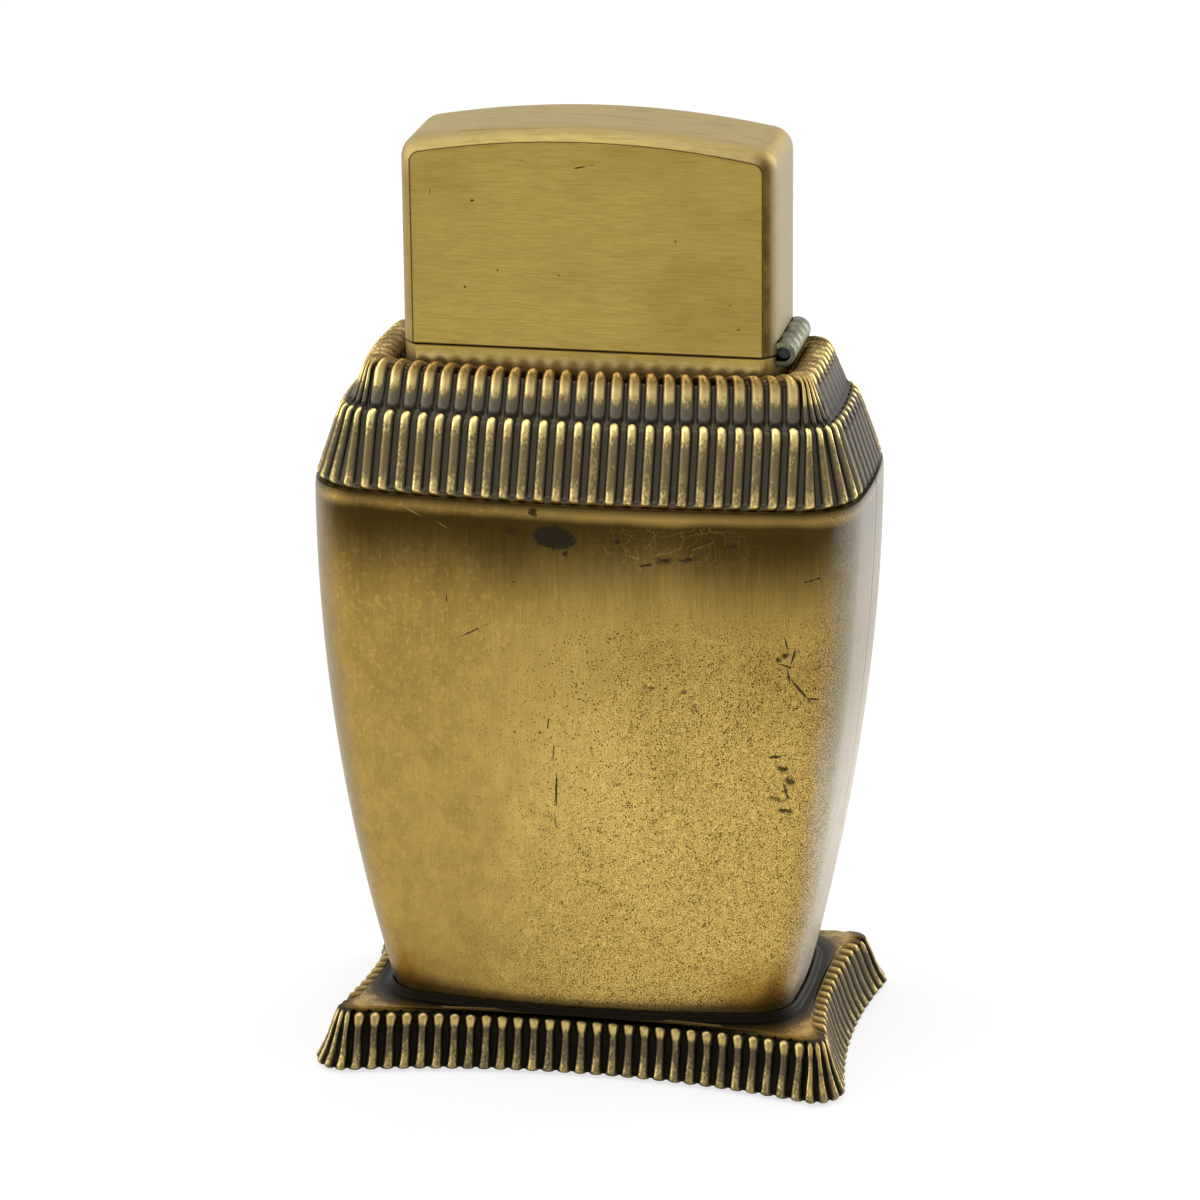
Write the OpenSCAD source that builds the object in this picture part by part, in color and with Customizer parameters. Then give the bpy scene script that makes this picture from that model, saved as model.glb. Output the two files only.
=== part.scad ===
// Table lighter: a pocket-size lighter that drops into a vase-shaped stand.
// Millimetres. The origin is the bottom centre of the foot, +X to the hinge
// side, -Y to the front, +Z up. Everything is drawn closed and seated.

/* [Foot] */
// Width of the foot over its corners
foot_w = 55.4; // [50:0.5:64]
// Depth of the foot over its corners
foot_d = 35.8; // [34:0.2:42]
// Height of the foot's deck above the table
foot_h = 6.3; // [5.5:0.1:9]
// How far the deck's edge lies inside the foot's bottom edge, left and right
foot_flare_w = 2.1; // [1.4:0.1:3.4]
// How far the deck's edge lies inside the foot's bottom edge, front and back
foot_flare_d = 2.6; // [1.4:0.1:3.4]
// How far the front and back edges of the foot curve in
foot_waist_front = 3.3; // [1.5:0.1:4.2]
// How far the left and right edges of the foot curve in
foot_waist_side = 1.4; // [0.5:0.1:3]
// How far the front and back edges of the deck curve in
deck_waist = 2.1; // [0.5:0.1:2.6]
// Corner radius of the foot's bottom edge
foot_corner_r = 3.2; // [2:0.1:5]
// Corner radius of the deck
deck_corner_r = 1.6; // [1:0.1:3]
// Ribs along the front edge of the foot
foot_ribs_front = 29; // [20:1:34]
// Ribs along each side edge of the foot
foot_ribs_side = 16; // [12:1:20]
// Lift of the cast rim off the table, which the felt takes up
rim_lift = 0.3; // [0.1:0.05:0.5]
// Thickness of the felt under the foot
felt_t = 1.0; // [0.7:0.1:1.6]
// Width of the cast rim left around the felt
felt_margin = 2.4; // [1.5:0.1:4]

/* [Body] */
// Width of the body at its rim
body_top_w = 56.6; // [54:0.2:60]
// Depth of the body at its rim, at mid width
body_top_d = 29.5; // [28.5:0.1:32]
// Width of the body where it meets the foot
body_bottom_w = 42.4; // [38:0.2:44]
// Depth of the body where it meets the foot, at mid width
body_bottom_d = 24.4; // [23:0.1:25.6]
// Height of the body from the deck to its rim
body_h = 55.2; // [50:0.2:64]
// Swell of the sides at mid height
body_swell_w = 1.6; // [0.4:0.1:2]
// Swell of the front and back at mid height
body_swell_d = 1.6; // [0.4:0.1:2.4]
// Bow of the front and back across the rim
body_bow = 1.4; // [0.6:0.1:2]
// Bow of the left and right sides
side_bow = 0.3; // [0.2:0.05:0.8]
// Corner radius at the rim
body_top_r = 6.7; // [6.2:0.1:8]
// Corner radius at the foot
body_bottom_r = 4.4; // [3.5:0.1:6]
// Wall of the two pressed shells
body_wall = 0.8; // [0.6:0.05:1.2]
// Width of each of the two steps of the lip around the body
lip_step_w = 0.4; // [0.25:0.05:0.6]
// Height of each of the two steps of the lip
lip_step_h = 0.5; // [0.3:0.05:0.8]

/* [Collar] */
// Height of the collar
collar_h = 12.4; // [11:0.1:14]
// Height of the lower tier up to its shoulder
tier_h = 7.6; // [6.8:0.1:8.4]
// How far the collar's bottom edge lies inside the body's rim, left and right
collar_in_w = 0.15; // [0:0.05:0.4]
// How far the collar's bottom edge lies inside the body's rim, front and back
collar_in_d = 0.6; // [0.2:0.05:0.8]
// Rim left beside the opening, left and right
rim_w = 2.7; // [2.2:0.1:3]
// Rim left beside the opening, front and back, at mid width
rim_d = 1.8; // [1.6:0.1:2.2]
// Share of the way in from the bottom edge to the rim where the shoulder is, left and right
shoulder_share_w = 0.43; // [0.36:0.01:0.5]
// Share of the way in from the bottom edge to the rim where the shoulder is, front and back
shoulder_share_d = 0.51; // [0.44:0.01:0.56]
// Corner radius of the shoulder of the lower tier
shoulder_r = 3.6; // [2.8:0.1:4]
// Share of the way in to the rim where the upper tier starts, left and right
upper_share_w = 0.73; // [0.68:0.01:0.8]
// Share of the way in to the rim where the upper tier starts, front and back
upper_share_d = 0.745; // [0.7:0.005:0.8]
// Corner radius of the upper tier where it stands on the lower one
upper_r = 2.0; // [1.6:0.1:2.4]
// Beads along the front of the collar
beads_front = 25; // [18:1:30]
// Beads along each side of the collar
beads_side = 8; // [6:2:12]
// Depth of the grooves between beads and between ribs
groove_depth = 0.55; // [0.3:0.05:0.7]
// Beads or ribs in each corner fan
corner_beads = 4; // [3:1:6]
// Gap between the case and the opening on top, left and right
opening_gap_w = 1.15; // [0.8:0.05:1.6]
// Gap between the case and the opening on top, front and back
opening_gap_d = 0.35; // [0.3:0.05:0.6]
// Corner radius of the opening
opening_r = 2.4; // [1:0.1:3]
// Height of the spigot that enters the body
spigot_h = 2.0; // [1.5:0.1:3]

/* [Frame inside the stand] */
// Thickness of the steel frame plate under the collar
plate_t = 1.2; // [0.8:0.1:2]
// Sheet of the sleeve that takes the lighter
socket_wall = 0.6; // [0.4:0.05:0.8]
// Width of the sleeve's flange
flange_w = 1.4; // [1:0.1:1.7]
// Radius of the two plate screws
plate_screw_r = 1.0; // [0.8:0.05:1.1]
// Length of the thread of the plate screws past the plate
plate_screw_l = 3.0; // [2:0.2:3.6]
// Radius of the tie screw
tie_r = 2.0; // [1.5:0.1:2.5]
// Radius of the tie screw's head
tie_head_r = 3.6; // [3.2:0.1:4.5]
// Height of the tie screw's head
tie_head_h = 1.5; // [1.2:0.1:1.8]
// Thickness of the washer under the head
washer_t = 0.5; // [0.3:0.05:0.8]
// Radius of the threaded bush under the sleeve
bush_r = 4.2; // [3.6:0.1:5.5]
// Height of the threaded bush
bush_h = 6.0; // [4:0.2:9]

/* [Lighter case] */
// Height of the lower case
case_h = 35.5; // [32:0.5:38]
// Height of the lid at its middle
lid_h = 22.5; // [21.6:0.1:25]
// Sheet of the case and lid
case_wall = 0.7; // [0.5:0.05:0.75]
// Roll radius of the upright edges
case_edge_r = 3.2; // [2.6:0.1:3.6]
// How far the roll is ground away by the flat front and back faces
face_cut = 0.45; // [0.2:0.05:0.7]
// Radius of the upper corners of the lid and lower corners of the case
case_corner_r = 2.4; // [2:0.1:4]
// Radius of the crown of the lid
crown_r = 95; // [80:1:160]
// Radius that rolls the top of the lid into its faces
lid_roll_r = 3.0; // [2:0.1:4]
// Height of the parting line above the collar
parting_show = 1.3; // [1.2:0.05:3]
// Gap between the lid and the case at the parting line
parting_gap = 0.1; // [0.05:0.01:0.2]

/* [Hinge] */
// Outer radius of the hinge barrel
knuckle_r = 1.3; // [1.1:0.05:1.4]
// Radius of the hinge pin
hinge_pin_r = 0.65; // [0.5:0.05:0.8]
// How far each end of the pin stays inside the barrel
hinge_pin_in = 0.9; // [0.1:0.1:1.2]
// Length of the barrel
barrel_l = 9.6; // [8:0.1:10]
// Distance of the hinge axis outside the case wall
hinge_out = 0.45; // [0.3:0.05:0.6]
// Sheet of the hinge leaves
leaf_t = 0.5; // [0.4:0.05:0.6]
// Height of each leaf
leaf_h = 6.0; // [4:0.2:9]
// Gap between two knuckles
knuckle_gap = 0.12; // [0.05:0.01:0.2]

/* [Lighter insert] */
// Width of the insert's tank, which the case and lid follow
tank_w = 35.5; // [34.6:0.1:36.4]
// Depth of the insert's tank, which the case and lid follow
tank_d = 10.3; // [9.9:0.1:10.8]
// Gap between the tank and the case, left and right
tank_gap_w = 0.6; // [0.5:0.05:0.8]
// Gap between the tank and the case, front and back
tank_gap_d = 0.65; // [0.5:0.05:0.8]
// Corner radius of the tank
tank_r = 2.0; // [1.2:0.1:2.6]
// Sheet of the tank and chimney
tank_wall = 0.4; // [0.3:0.05:0.5]
// How far the insert's deck stands above the parting line
tank_rise = 1.6; // [1:0.1:2]
// Deck left beside the chimney at each end of the tank, before it is moved aside
chimney_in_w = 9.75; // [9.6:0.05:10.6]
// Deck left in front of the chimney and behind it
chimney_in_d = 0.25; // [0.15:0.05:0.8]
// Height of the chimney
chimney_h = 14.4; // [12.5:0.1:15]
// Place of the chimney's middle from the case's middle
chimney_x = 1.5; // [0.8:0.1:2]
// Radius of the air holes in the chimney
air_hole_r = 1.0; // [0.6:0.05:1.1]
// Radius of the wick
wick_r = 1.4; // [1:0.1:1.8]
// Height of the wick above the deck
wick_up = 6.0; // [4:0.2:8]
// Length of the wick below the deck
wick_in = 20.0; // [10:1:26]
// Radius of the flint wheel
wheel_r = 3.2; // [2.8:0.1:3.4]
// Width of the flint wheel
wheel_w = 4.4; // [3.6:0.1:4.8]
// Teeth of the flint wheel
wheel_teeth = 32; // [24:1:44]
// Height of the wheel's axle above the deck
wheel_up = 7.2; // [6.8:0.1:8]
// Radius of the wheel's rivet
wheel_rivet_r = 0.8; // [0.6:0.05:1]
// Outer radius of the flint tube
flint_tube_r = 1.8; // [1.7:0.05:2]
// Radius of the flint
flint_r = 1.1; // [0.9:0.05:1.2]
// Length of the flint
flint_l = 5.0; // [3:0.2:6]
// Radius of the flint screw's head
flint_head_r = 2.6; // [2.2:0.1:3]
// Length of the flint screw's shank
flint_screw_l = 6.0; // [4:0.5:10]
// Thickness of the felt that closes the tank
pad_t = 3.4; // [2.4:0.1:5]
// Width of the cam
cam_w = 2.2; // [1.8:0.1:2.6]
// Distance of the cam's pivot from the end of the tank
cam_in = 4.55; // [4.4:0.05:4.8]
// Height of the cam's pivot above the deck
cam_up = 2.75; // [2.7:0.05:3.2]
// Radius of the cam's rivet
cam_rivet_r = 0.6; // [0.5:0.05:0.7]

/* [Fits] */
// Gap between seated parts
seat = 0.2; // [0.1:0.01:0.3]
// Gap of a part that slides or swings past another
slip = 0.3; // [0.25:0.01:0.4]
// Radial play of a shaft in its hole
play = 0.05; // [0.02:0.01:0.09]

/* [Hidden] */
$fn = 64;
// A cut runs this far past the surface that it opens
past = 0.5;
// How far the two cast solids of one piece run into each other
weld = 0.4;
// Shares of one bead's width where its section has a corner, and its depth there
bead_section = [[0, 1], [0.27, 0], [0.73, 0]];
// A smooth ring has one plain point per cell
plain_section = [[0, 0]];
// Cells of a smooth ring along the front, round a corner and along a side
plain_cells = [12, 5, 4];
foot_cells = [foot_ribs_front, corner_beads, foot_ribs_side];
collar_cells = [beads_front, corner_beads, beads_side];
// Radius of the rounding at the head of a rib or bead
head_r = 0.45;
// Corner radius of the rim of the upper tier
top_r = 0.7;
// Groove depth in a corner fan, as a share of the fan's radius
fan_share = 0.14;

// Levels from the table up
deck_z = foot_h;
rim_z = deck_z + body_h;
collar_z = rim_z + seat;
step_z = collar_z + tier_h;
collar_top_z = collar_z + collar_h;
part_z = collar_top_z + parting_show;
case_top_z = part_z - parting_gap;
case_z = case_top_z - case_h;
lid_top_z = part_z + lid_h;
tank_z = case_z + case_wall + seat;
tank_top_z = part_z + tank_rise;

// The case and lid follow the insert, and the opening follows the case
case_w = tank_w + 2 * (tank_gap_w + case_wall);
case_d = tank_d + 2 * (tank_gap_d + case_wall);
opening_w = case_w + 2 * opening_gap_w;
opening_d = case_d + 2 * opening_gap_d;
chimney_w = tank_w - 2 * chimney_in_w;
chimney_d = tank_d - 2 * chimney_in_d;

// The collar runs from the body's rim in to its own rim round the opening
collar_w = body_top_w - 2 * collar_in_w;
collar_d = body_top_d - 2 * collar_in_d;
collar_r = body_top_r - collar_in_d;
top_w = opening_w + 2 * rim_w;
top_d = opening_d + 2 * rim_d;
shoulder_w = collar_w + (top_w - collar_w) * shoulder_share_w;
shoulder_d = collar_d + (top_d - collar_d) * shoulder_share_d;
upper_w = collar_w + (top_w - collar_w) * upper_share_w;
upper_d = collar_d + (top_d - collar_d) * upper_share_d;

// The spigot and the frame plate follow the body's rim, inset from it
rim_core = [body_top_w / 2 - side_bow - body_top_r, body_top_d / 2 - body_bow - body_top_r];
cast_bow = [body_bow, side_bow];
spigot_off = body_top_r - body_wall - seat;
plate_off = spigot_off - body_wall - seat;
plate_z = rim_z;
socket_half = [case_w / 2 + slip, case_d / 2 + slip];
socket_out = [socket_half[0] + socket_wall, socket_half[1] + socket_wall];
flange_out = [socket_out[0] + flange_w, socket_out[1] + flange_w];
socket_z = case_z - seat;
socket_floor_z = socket_z - socket_wall;
// The plate screws stand midway between the sleeve and the spigot
plate_screw_x = (socket_out[0] + rim_core[0] + side_bow + plate_off) / 2;
plate_head_r = 1.5 * plate_screw_r;
plate_head_h = 0.9;
// Width of the driver slots
slot_w = 0.6;

// Outline of the foot's bottom edge
foot_core = [foot_w / 2 - foot_corner_r, foot_d / 2 - foot_corner_r];
foot_waist = [-foot_waist_front, -foot_waist_side];

// Tie screw and its seat under the foot
bore_top_z = felt_t + tie_head_h + washer_t + seat;

// Hinge and insert positions
hinge_x = case_w / 2 + hinge_out;
hinge_z = part_z;
inner_x = case_w / 2 - case_wall;
knuckles = 5;
knuckle_l = barrel_l / knuckles;
wheel_x = chimney_x - chimney_w / 2 - wheel_r - seat;
wheel_z = tank_top_z + wheel_up;
cam_x = tank_w / 2 - cam_in;
cam_z = tank_top_z + cam_up;
rivet_head = 0.4;
lug_t = 0.5;
lug_r = 1.5;
ear_in = wheel_w / 2 + slip;
lug_in = cam_w / 2 + slip;
wick_x = chimney_x;
flint_show = 1.2;
flint_top_z = wheel_z - wheel_r - seat / 2;
flint_tube_top_z = flint_top_z - flint_show;
flint_head_h = 1.4;
flint_tube_z = tank_z + seat + flint_head_h;
screw_top_z = flint_tube_z + flint_screw_l;

// Point and outward direction at share u of a side bowed out by bow from a to b
function side_spot(a, b, bow, u) =
    let (
        run = norm(b - a),
        along = (b - a) / run,
        out = [along[1], -along[0]],
        half = 2 * atan(2 * bow / run),
        r = run / 2 / sin(half),
        turn = (2 * u - 1) * half
    )
    [
        (a + b) / 2 + along * r * sin(turn) + out * r * (cos(turn) - cos(half)),
        along * sin(turn) + out * cos(turn)
    ];

// Points of the corner fan at core corner a, turning from angle g0 to g1
function fan_spots(a, g0, g1, n, section) = [
    for (c = [0:n - 1])
        for (s = section)
            let (g = g0 + (g1 - g0) * (c + s[0]) / n)
            [a, [cos(g), sin(g)], s[1], true]
];

// One bowed side followed by the corner fan at its far end
function edge_spots(a, b, bow, next_bow, next_run, n, fan, section) =
    let (
        heading = atan2(b[1] - a[1], b[0] - a[0]) - 90,
        g0 = heading + 2 * atan(2 * bow / norm(b - a)),
        g1 = heading + 90 - 2 * atan(2 * next_bow / next_run)
    )
    concat(
        [
            for (c = [0:n - 1])
                for (s = section)
                    let (spot = side_spot(a, b, bow, (c + s[0]) / n))
                    [spot[0], spot[1], s[1], false]
        ],
        fan_spots(b, g0, g1, fan, section)
    );

// All spots round a bowed rectangle, counter-clockwise from its front left corner
function ring_spots(core, bow, cells, section) =
    let (x = core[0], y = core[1])
    concat(
        edge_spots([-x, -y], [x, -y], bow[0], bow[1], 2 * y, cells[0], cells[1], section),
        edge_spots([x, -y], [x, y], bow[1], bow[0], 2 * x, cells[2], cells[1], section),
        edge_spots([x, y], [-x, y], bow[0], bow[1], 2 * y, cells[0], cells[1], section),
        edge_spots([-x, y], [-x, -y], bow[1], bow[0], 2 * x, cells[2], cells[1], section)
    );

// Flat outline of a ring at radius off, with grooves of the given depth
function outline(core, bow, off, cells = plain_cells, section = plain_section, depth = 0) = [
    for (s = ring_spots(core, bow, cells, section))
        s[0] + s[1] * (off - s[2] * (s[3] ? min(depth, off * fan_share) : depth))
];

function at_height(points, z) = [for (p = points) [p[0], p[1], z]];

// Core of a ring of width w and depth d, rounded by radius r
function ring_core(w, d, r, bow) = [w / 2 - bow[1] - r, d / 2 - bow[0] - r];

// Smooth ring that follows the body's rim, with its corners at radius off
function rim_ring(off) = outline(rim_core, cast_bow, off);

// Closed solid through a stack of rings that have the same number of points.
// The first and last rings are smooth, and their caps fan out from the middle.
module skin(rings) {
    n = len(rings[0]);
    top = (len(rings) - 1) * n;
    mid = top + n;
    ends = [[0, 0, rings[0][0][2]], [0, 0, rings[len(rings) - 1][0][2]]];
    sides = [
        for (k = [0:len(rings) - 2])
            for (i = [0:n - 1])
                let (a = k * n + i, b = k * n + (i + 1) % n)
                each [[a, a + n, b + n], [a, b + n, b]]
    ];
    caps = [
        for (i = [0:n - 1])
            let (j = (i + 1) % n)
            each [[i, j, mid], [top + j, top + i, mid + 1]]
    ];
    polyhedron(points = concat([for (r = rings) each r], ends), faces = concat(sides, caps));
}

// Half of the body's section at share t of its height, inset by a wall
function body_half(t, inset) =
    let (
        swell = 4 * t * (1 - t),
        w = body_bottom_w / 2 + (body_top_w - body_bottom_w) / 2 * t + body_swell_w * swell,
        d = body_bottom_d / 2 + (body_top_d - body_bottom_d) / 2 * t + body_swell_d * swell,
        r = body_bottom_r + (body_top_r - body_bottom_r) * t,
        ring = outline(ring_core(2 * w, 2 * d, r, cast_bow), cast_bow, r - inset),
        n = len(ring),
        start = n / 2 + plain_cells[0] + plain_cells[1] + plain_cells[2] / 2
    )
    [for (i = [0:n / 2]) ring[(start + i) % n]];

// Front half of the body: an open pressed shell between two seams
module half_shell() {
    steps = 12;
    loops = [
        for (k = [0:steps])
            let (t = k / steps, front = body_half(t, 0), back = body_half(t, body_wall), n = len(front))
            at_height(
                concat(front, [for (i = [n - 1:-1:0]) back[i]]),
                deck_z + seat / 2 + (body_h - seat / 2) * t)
    ];
    n = len(loops[0]);
    half = n / 2;
    top = steps * n;
    sides = [
        for (k = [0:steps - 1])
            for (i = [0:n - 1])
                let (a = k * n + i, b = k * n + (i + 1) % n)
                each [[a, a + n, b + n], [a, b + n, b]]
    ];
    caps = [
        for (i = [0:half - 2])
            let (out_a = i, out_b = i + 1, in_a = n - 1 - i, in_b = n - 2 - i)
            each [
                [out_a, out_b, in_b], [out_a, in_b, in_a],
                [top + out_b, top + out_a, top + in_b], [top + out_a, top + in_a, top + in_b]
            ]
    ];
    polyhedron(points = [for (loop = loops) each loop], faces = concat(sides, caps));
}

// Upright block with round corners
module round_block(half, r, h) {
    translate([r - half[0], -half[1], 0]) cube([2 * (half[0] - r), 2 * half[1], h]);
    translate([-half[0], r - half[1], 0]) cube([2 * half[0], 2 * (half[1] - r), h]);
    for (x = [-1, 1])
        for (y = [-1, 1])
            translate([x * (half[0] - r), y * (half[1] - r), 0]) cylinder(r = r, h = h);
}

// Driver slot across a screw head that faces down
module driver_slot(r, depth) {
    translate([-2 * r, -slot_w / 2, -past]) cube([4 * r, slot_w, past + depth]);
}

// Cylinder from y0 to y1 along the Y axis
module y_rod(r, y0, y1) {
    translate([0, y0, 0]) rotate([-90, 0, 0]) cylinder(r = r, h = y1 - y0);
}

// Case section seen from above: rolled upright edges, ground flat front and back
module case_column(inset, h) {
    r = case_edge_r - inset;
    intersection() {
        round_block([case_w / 2 - inset, case_d / 2 + face_cut - inset], r, h);
        translate([-case_w, inset - case_d / 2, 0]) cube([2 * case_w, case_d - 2 * inset, h]);
    }
}

// Case section seen from the front, from z0 up to a crowned top at z1
module crowned_profile(inset, z0, z1) {
    r = case_corner_r - inset;
    big_r = crown_r - inset;
    x = case_w / 2 - inset - r;
    centre_z = z1 - inset - big_r;
    z = centre_z + sqrt((big_r - r) * (big_r - r) - x * x);
    band = x * big_r / (big_r - r);
    translate([inset - case_w / 2, z0]) square([case_w - 2 * inset, z - z0]);
    for (side = [-1, 1])
        translate([side * x, z]) circle(r = r);
    intersection() {
        translate([0, centre_z]) circle(r = big_r, $fn = 256);
        translate([-band, z0]) square([2 * band, z1 - z0]);
    }
}

// Case section seen from the side, with its top rolled into the faces
module rolled_profile(inset, z0, z1) {
    r = lid_roll_r;
    half = case_d / 2 + face_cut - inset;
    z = z1 - inset;
    translate([-half, z0]) square([2 * half, z - r - z0]);
    translate([r - half, z0]) square([2 * (half - r), z - z0]);
    for (side = [-1, 1])
        translate([side * (half - r), z - r]) circle(r = r);
}

// Solid lid shape, inset from the outer surface
module lid_solid(inset, z0) {
    intersection() {
        translate([0, 0, z0]) case_column(inset, lid_top_z - z0);
        translate([0, case_d, 0]) rotate([90, 0, 0])
            linear_extrude(2 * case_d) crowned_profile(inset, z0, lid_top_z);
        translate([-case_w, 0, 0]) rotate([90, 0, 90])
            linear_extrude(2 * case_w) rolled_profile(inset, z0, lid_top_z);
    }
}

// Window in the case or lid wall that the hinge barrel sits in
module hinge_notch(z0, z1) {
    translate([inner_x - past, -barrel_l / 2 - play, z0])
        cube([case_wall + 2 * past, barrel_l + 2 * play, z1 - z0]);
}

module foot() {
    deck_core = [
        foot_w / 2 - foot_flare_w - deck_corner_r,
        foot_d / 2 - foot_flare_d - deck_corner_r
    ];
    deck_bow = [-deck_waist, -foot_waist_side];
    head_drop = deck_z - head_r;
    // The skin starts at the roof of the felt's recess and turns under the rim
    recess = outline(foot_core, foot_waist, foot_corner_r - felt_margin, foot_cells, bead_section);
    rows = [
        for (t = [0, 0.5, 1])
            let (
                core = foot_core * (1 - t) + deck_core * t,
                bow = foot_waist * (1 - t) + deck_bow * t,
                off = foot_corner_r * (1 - t) + deck_corner_r * t,
                z = rim_lift + (head_drop - rim_lift) * t
            )
            at_height(outline(core, bow, off, foot_cells, bead_section, groove_depth), z)
    ];
    head_off = deck_corner_r - head_r;
    heads = [
        at_height(
            outline(deck_core, deck_bow, head_off, foot_cells, bead_section, groove_depth / 2),
            deck_z),
        at_height(outline(deck_core, deck_bow, head_off - groove_depth, foot_cells, bead_section), deck_z)
    ];
    body_core = ring_core(body_bottom_w, body_bottom_d, body_bottom_r, cast_bow);
    lip_r = body_bottom_r + seat;
    color("darkgoldenrod") difference() {
        union() {
            skin(concat([at_height(recess, felt_t), at_height(recess, rim_lift)], rows, heads));
            for (k = [1, 2])
                translate([0, 0, deck_z - weld])
                    linear_extrude(weld + k * lip_step_h)
                        polygon(outline(body_core, cast_bow, lip_r + (3 - k) * lip_step_w));
        }
        translate([0, 0, deck_z])
            linear_extrude(foot_h) polygon(outline(body_core, cast_bow, lip_r));
        cylinder(r = tie_r + seat, h = foot_h + past);
        cylinder(r = tie_head_r + slip, h = bore_top_z);
    }
}

module foot_felt() {
    color("darkolivegreen")
        linear_extrude(felt_t - seat / 2)
            polygon(outline(foot_core, foot_waist, foot_corner_r - felt_margin - seat));
}

module body_front_shell() {
    color("goldenrod") half_shell();
}

module body_back_shell() {
    color("goldenrod") mirror([0, 1, 0]) half_shell();
}

module collar() {
    // Each row has a width, a depth, a corner radius, a height and a groove depth
    rows = [
        [collar_w - 4 * head_r, collar_d - 4 * head_r, collar_r - 2 * head_r, collar_z, 0],
        [collar_w, collar_d, collar_r, collar_z, groove_depth],
        [shoulder_w, shoulder_d, shoulder_r, step_z - 2 * head_r, groove_depth],
        [shoulder_w - head_r, shoulder_d - head_r, shoulder_r - head_r / 2,
            step_z - head_r / 2, groove_depth],
        [shoulder_w - 4 * head_r, shoulder_d - 3 * head_r, shoulder_r - head_r, step_z, groove_depth / 2],
        [upper_w, upper_d, upper_r, step_z + head_r / 2, groove_depth / 2],
        [top_w, top_d, top_r + head_r, collar_top_z - 2 * head_r, groove_depth],
        [top_w - head_r, top_d - head_r, top_r, collar_top_z - head_r, groove_depth],
        [top_w - 3 * head_r, top_d - 2 * head_r, top_r, collar_top_z, groove_depth / 2],
        [top_w - 5 * head_r, top_d - 4 * head_r, top_r, collar_top_z, 0]
    ];
    rings = [
        for (row = rows)
            let (core = ring_core(row[0], row[1], row[2], cast_bow))
            at_height(outline(core, cast_bow, row[2], collar_cells, bead_section, row[4]), row[3])
    ];
    color("darkgoldenrod") difference() {
        union() {
            skin(rings);
            translate([0, 0, rim_z - spigot_h])
                linear_extrude(spigot_h + seat + weld) polygon(rim_ring(spigot_off));
        }
        translate([0, 0, case_z]) round_block([opening_w / 2, opening_d / 2], opening_r, case_h);
        translate([0, 0, rim_z - spigot_h - past])
            linear_extrude(spigot_h + past + plate_t + seat) polygon(rim_ring(plate_off));
        translate([0, 0, plate_z])
            round_block([flange_out[0] + slip, flange_out[1] + slip], case_edge_r, tier_h - body_wall);
        for (side = [-1, 1])
            translate([side * plate_screw_x, 0, plate_z])
                cylinder(r = plate_screw_r + play, h = plate_t + plate_screw_l);
    }
}

module collar_plate() {
    color("slategray") difference() {
        translate([0, 0, plate_z])
            linear_extrude(plate_t) polygon(rim_ring(plate_off - seat));
        translate([0, 0, plate_z - past])
            round_block([socket_out[0] + seat, socket_out[1] + seat], case_edge_r, plate_t + 2 * past);
        for (side = [-1, 1])
            translate([side * plate_screw_x, 0, plate_z - past])
                cylinder(r = plate_screw_r + play, h = plate_t + 2 * past);
    }
}

module plate_screws() {
    color("silver")
        for (side = [-1, 1])
            translate([side * plate_screw_x, 0, plate_z])
                difference() {
                    union() {
                        cylinder(r = plate_screw_r, h = plate_t + plate_screw_l - seat);
                        translate([0, 0, -plate_head_h])
                            cylinder(r = plate_head_r, h = plate_head_h);
                    }
                    translate([0, 0, -plate_head_h]) driver_slot(plate_head_r, plate_head_h / 2);
                }
}

module lighter_socket() {
    color("darkgray") difference() {
        union() {
            translate([0, 0, socket_floor_z])
                round_block(socket_out, case_edge_r, plate_z + plate_t - socket_floor_z + socket_wall);
            translate([0, 0, plate_z + plate_t])
                round_block(flange_out, case_edge_r, socket_wall);
        }
        translate([0, 0, socket_z]) round_block(socket_half, case_edge_r, collar_top_z);
        translate([0, 0, socket_floor_z - past]) cylinder(r = tie_r + seat, h = socket_wall + 2 * past);
        // Room for a plate screw that stands close to the flange
        for (side = [-1, 1])
            translate([side * plate_screw_x, 0, plate_z])
                cylinder(r = plate_screw_r + slip, h = plate_t + plate_screw_l);
    }
}

module socket_bush() {
    color("gray") difference() {
        translate([0, 0, socket_floor_z - bush_h]) cylinder(r = bush_r, h = bush_h);
        translate([0, 0, socket_floor_z - bush_h - past]) cylinder(r = tie_r + play, h = bush_h + 2 * past);
    }
}

module tie_screw() {
    head_z = bore_top_z - washer_t - tie_head_h;
    color("silver") difference() {
        union() {
            translate([0, 0, head_z]) cylinder(r = tie_head_r, h = tie_head_h);
            translate([0, 0, head_z + tie_head_h / 2])
                cylinder(r = tie_r, h = socket_floor_z - seat - head_z - tie_head_h / 2);
        }
        translate([0, 0, head_z]) driver_slot(tie_head_r, tie_head_h / 2);
    }
}

module tie_washer() {
    color("gainsboro")
        translate([0, 0, bore_top_z - washer_t])
            difference() {
                cylinder(r = tie_head_r, h = washer_t);
                translate([0, 0, -past]) cylinder(r = tie_r + seat, h = washer_t + 2 * past);
            }
}

module lower_case() {
    r = case_corner_r;
    color("goldenrod") difference() {
        intersection() {
            translate([0, 0, case_z]) case_column(0, case_h);
            translate([0, case_d, 0]) rotate([90, 0, 0])
                linear_extrude(2 * case_d) {
                    translate([-case_w / 2, case_z + r]) square([case_w, case_h - r]);
                    translate([r - case_w / 2, case_z]) square([case_w - 2 * r, case_h]);
                    for (side = [-1, 1])
                        translate([side * (case_w / 2 - r), case_z + r]) circle(r = r);
                }
        }
        translate([0, 0, case_z + case_wall]) case_column(case_wall, case_h);
        hinge_notch(hinge_z - knuckle_r - parting_gap, hinge_z);
    }
}

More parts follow.
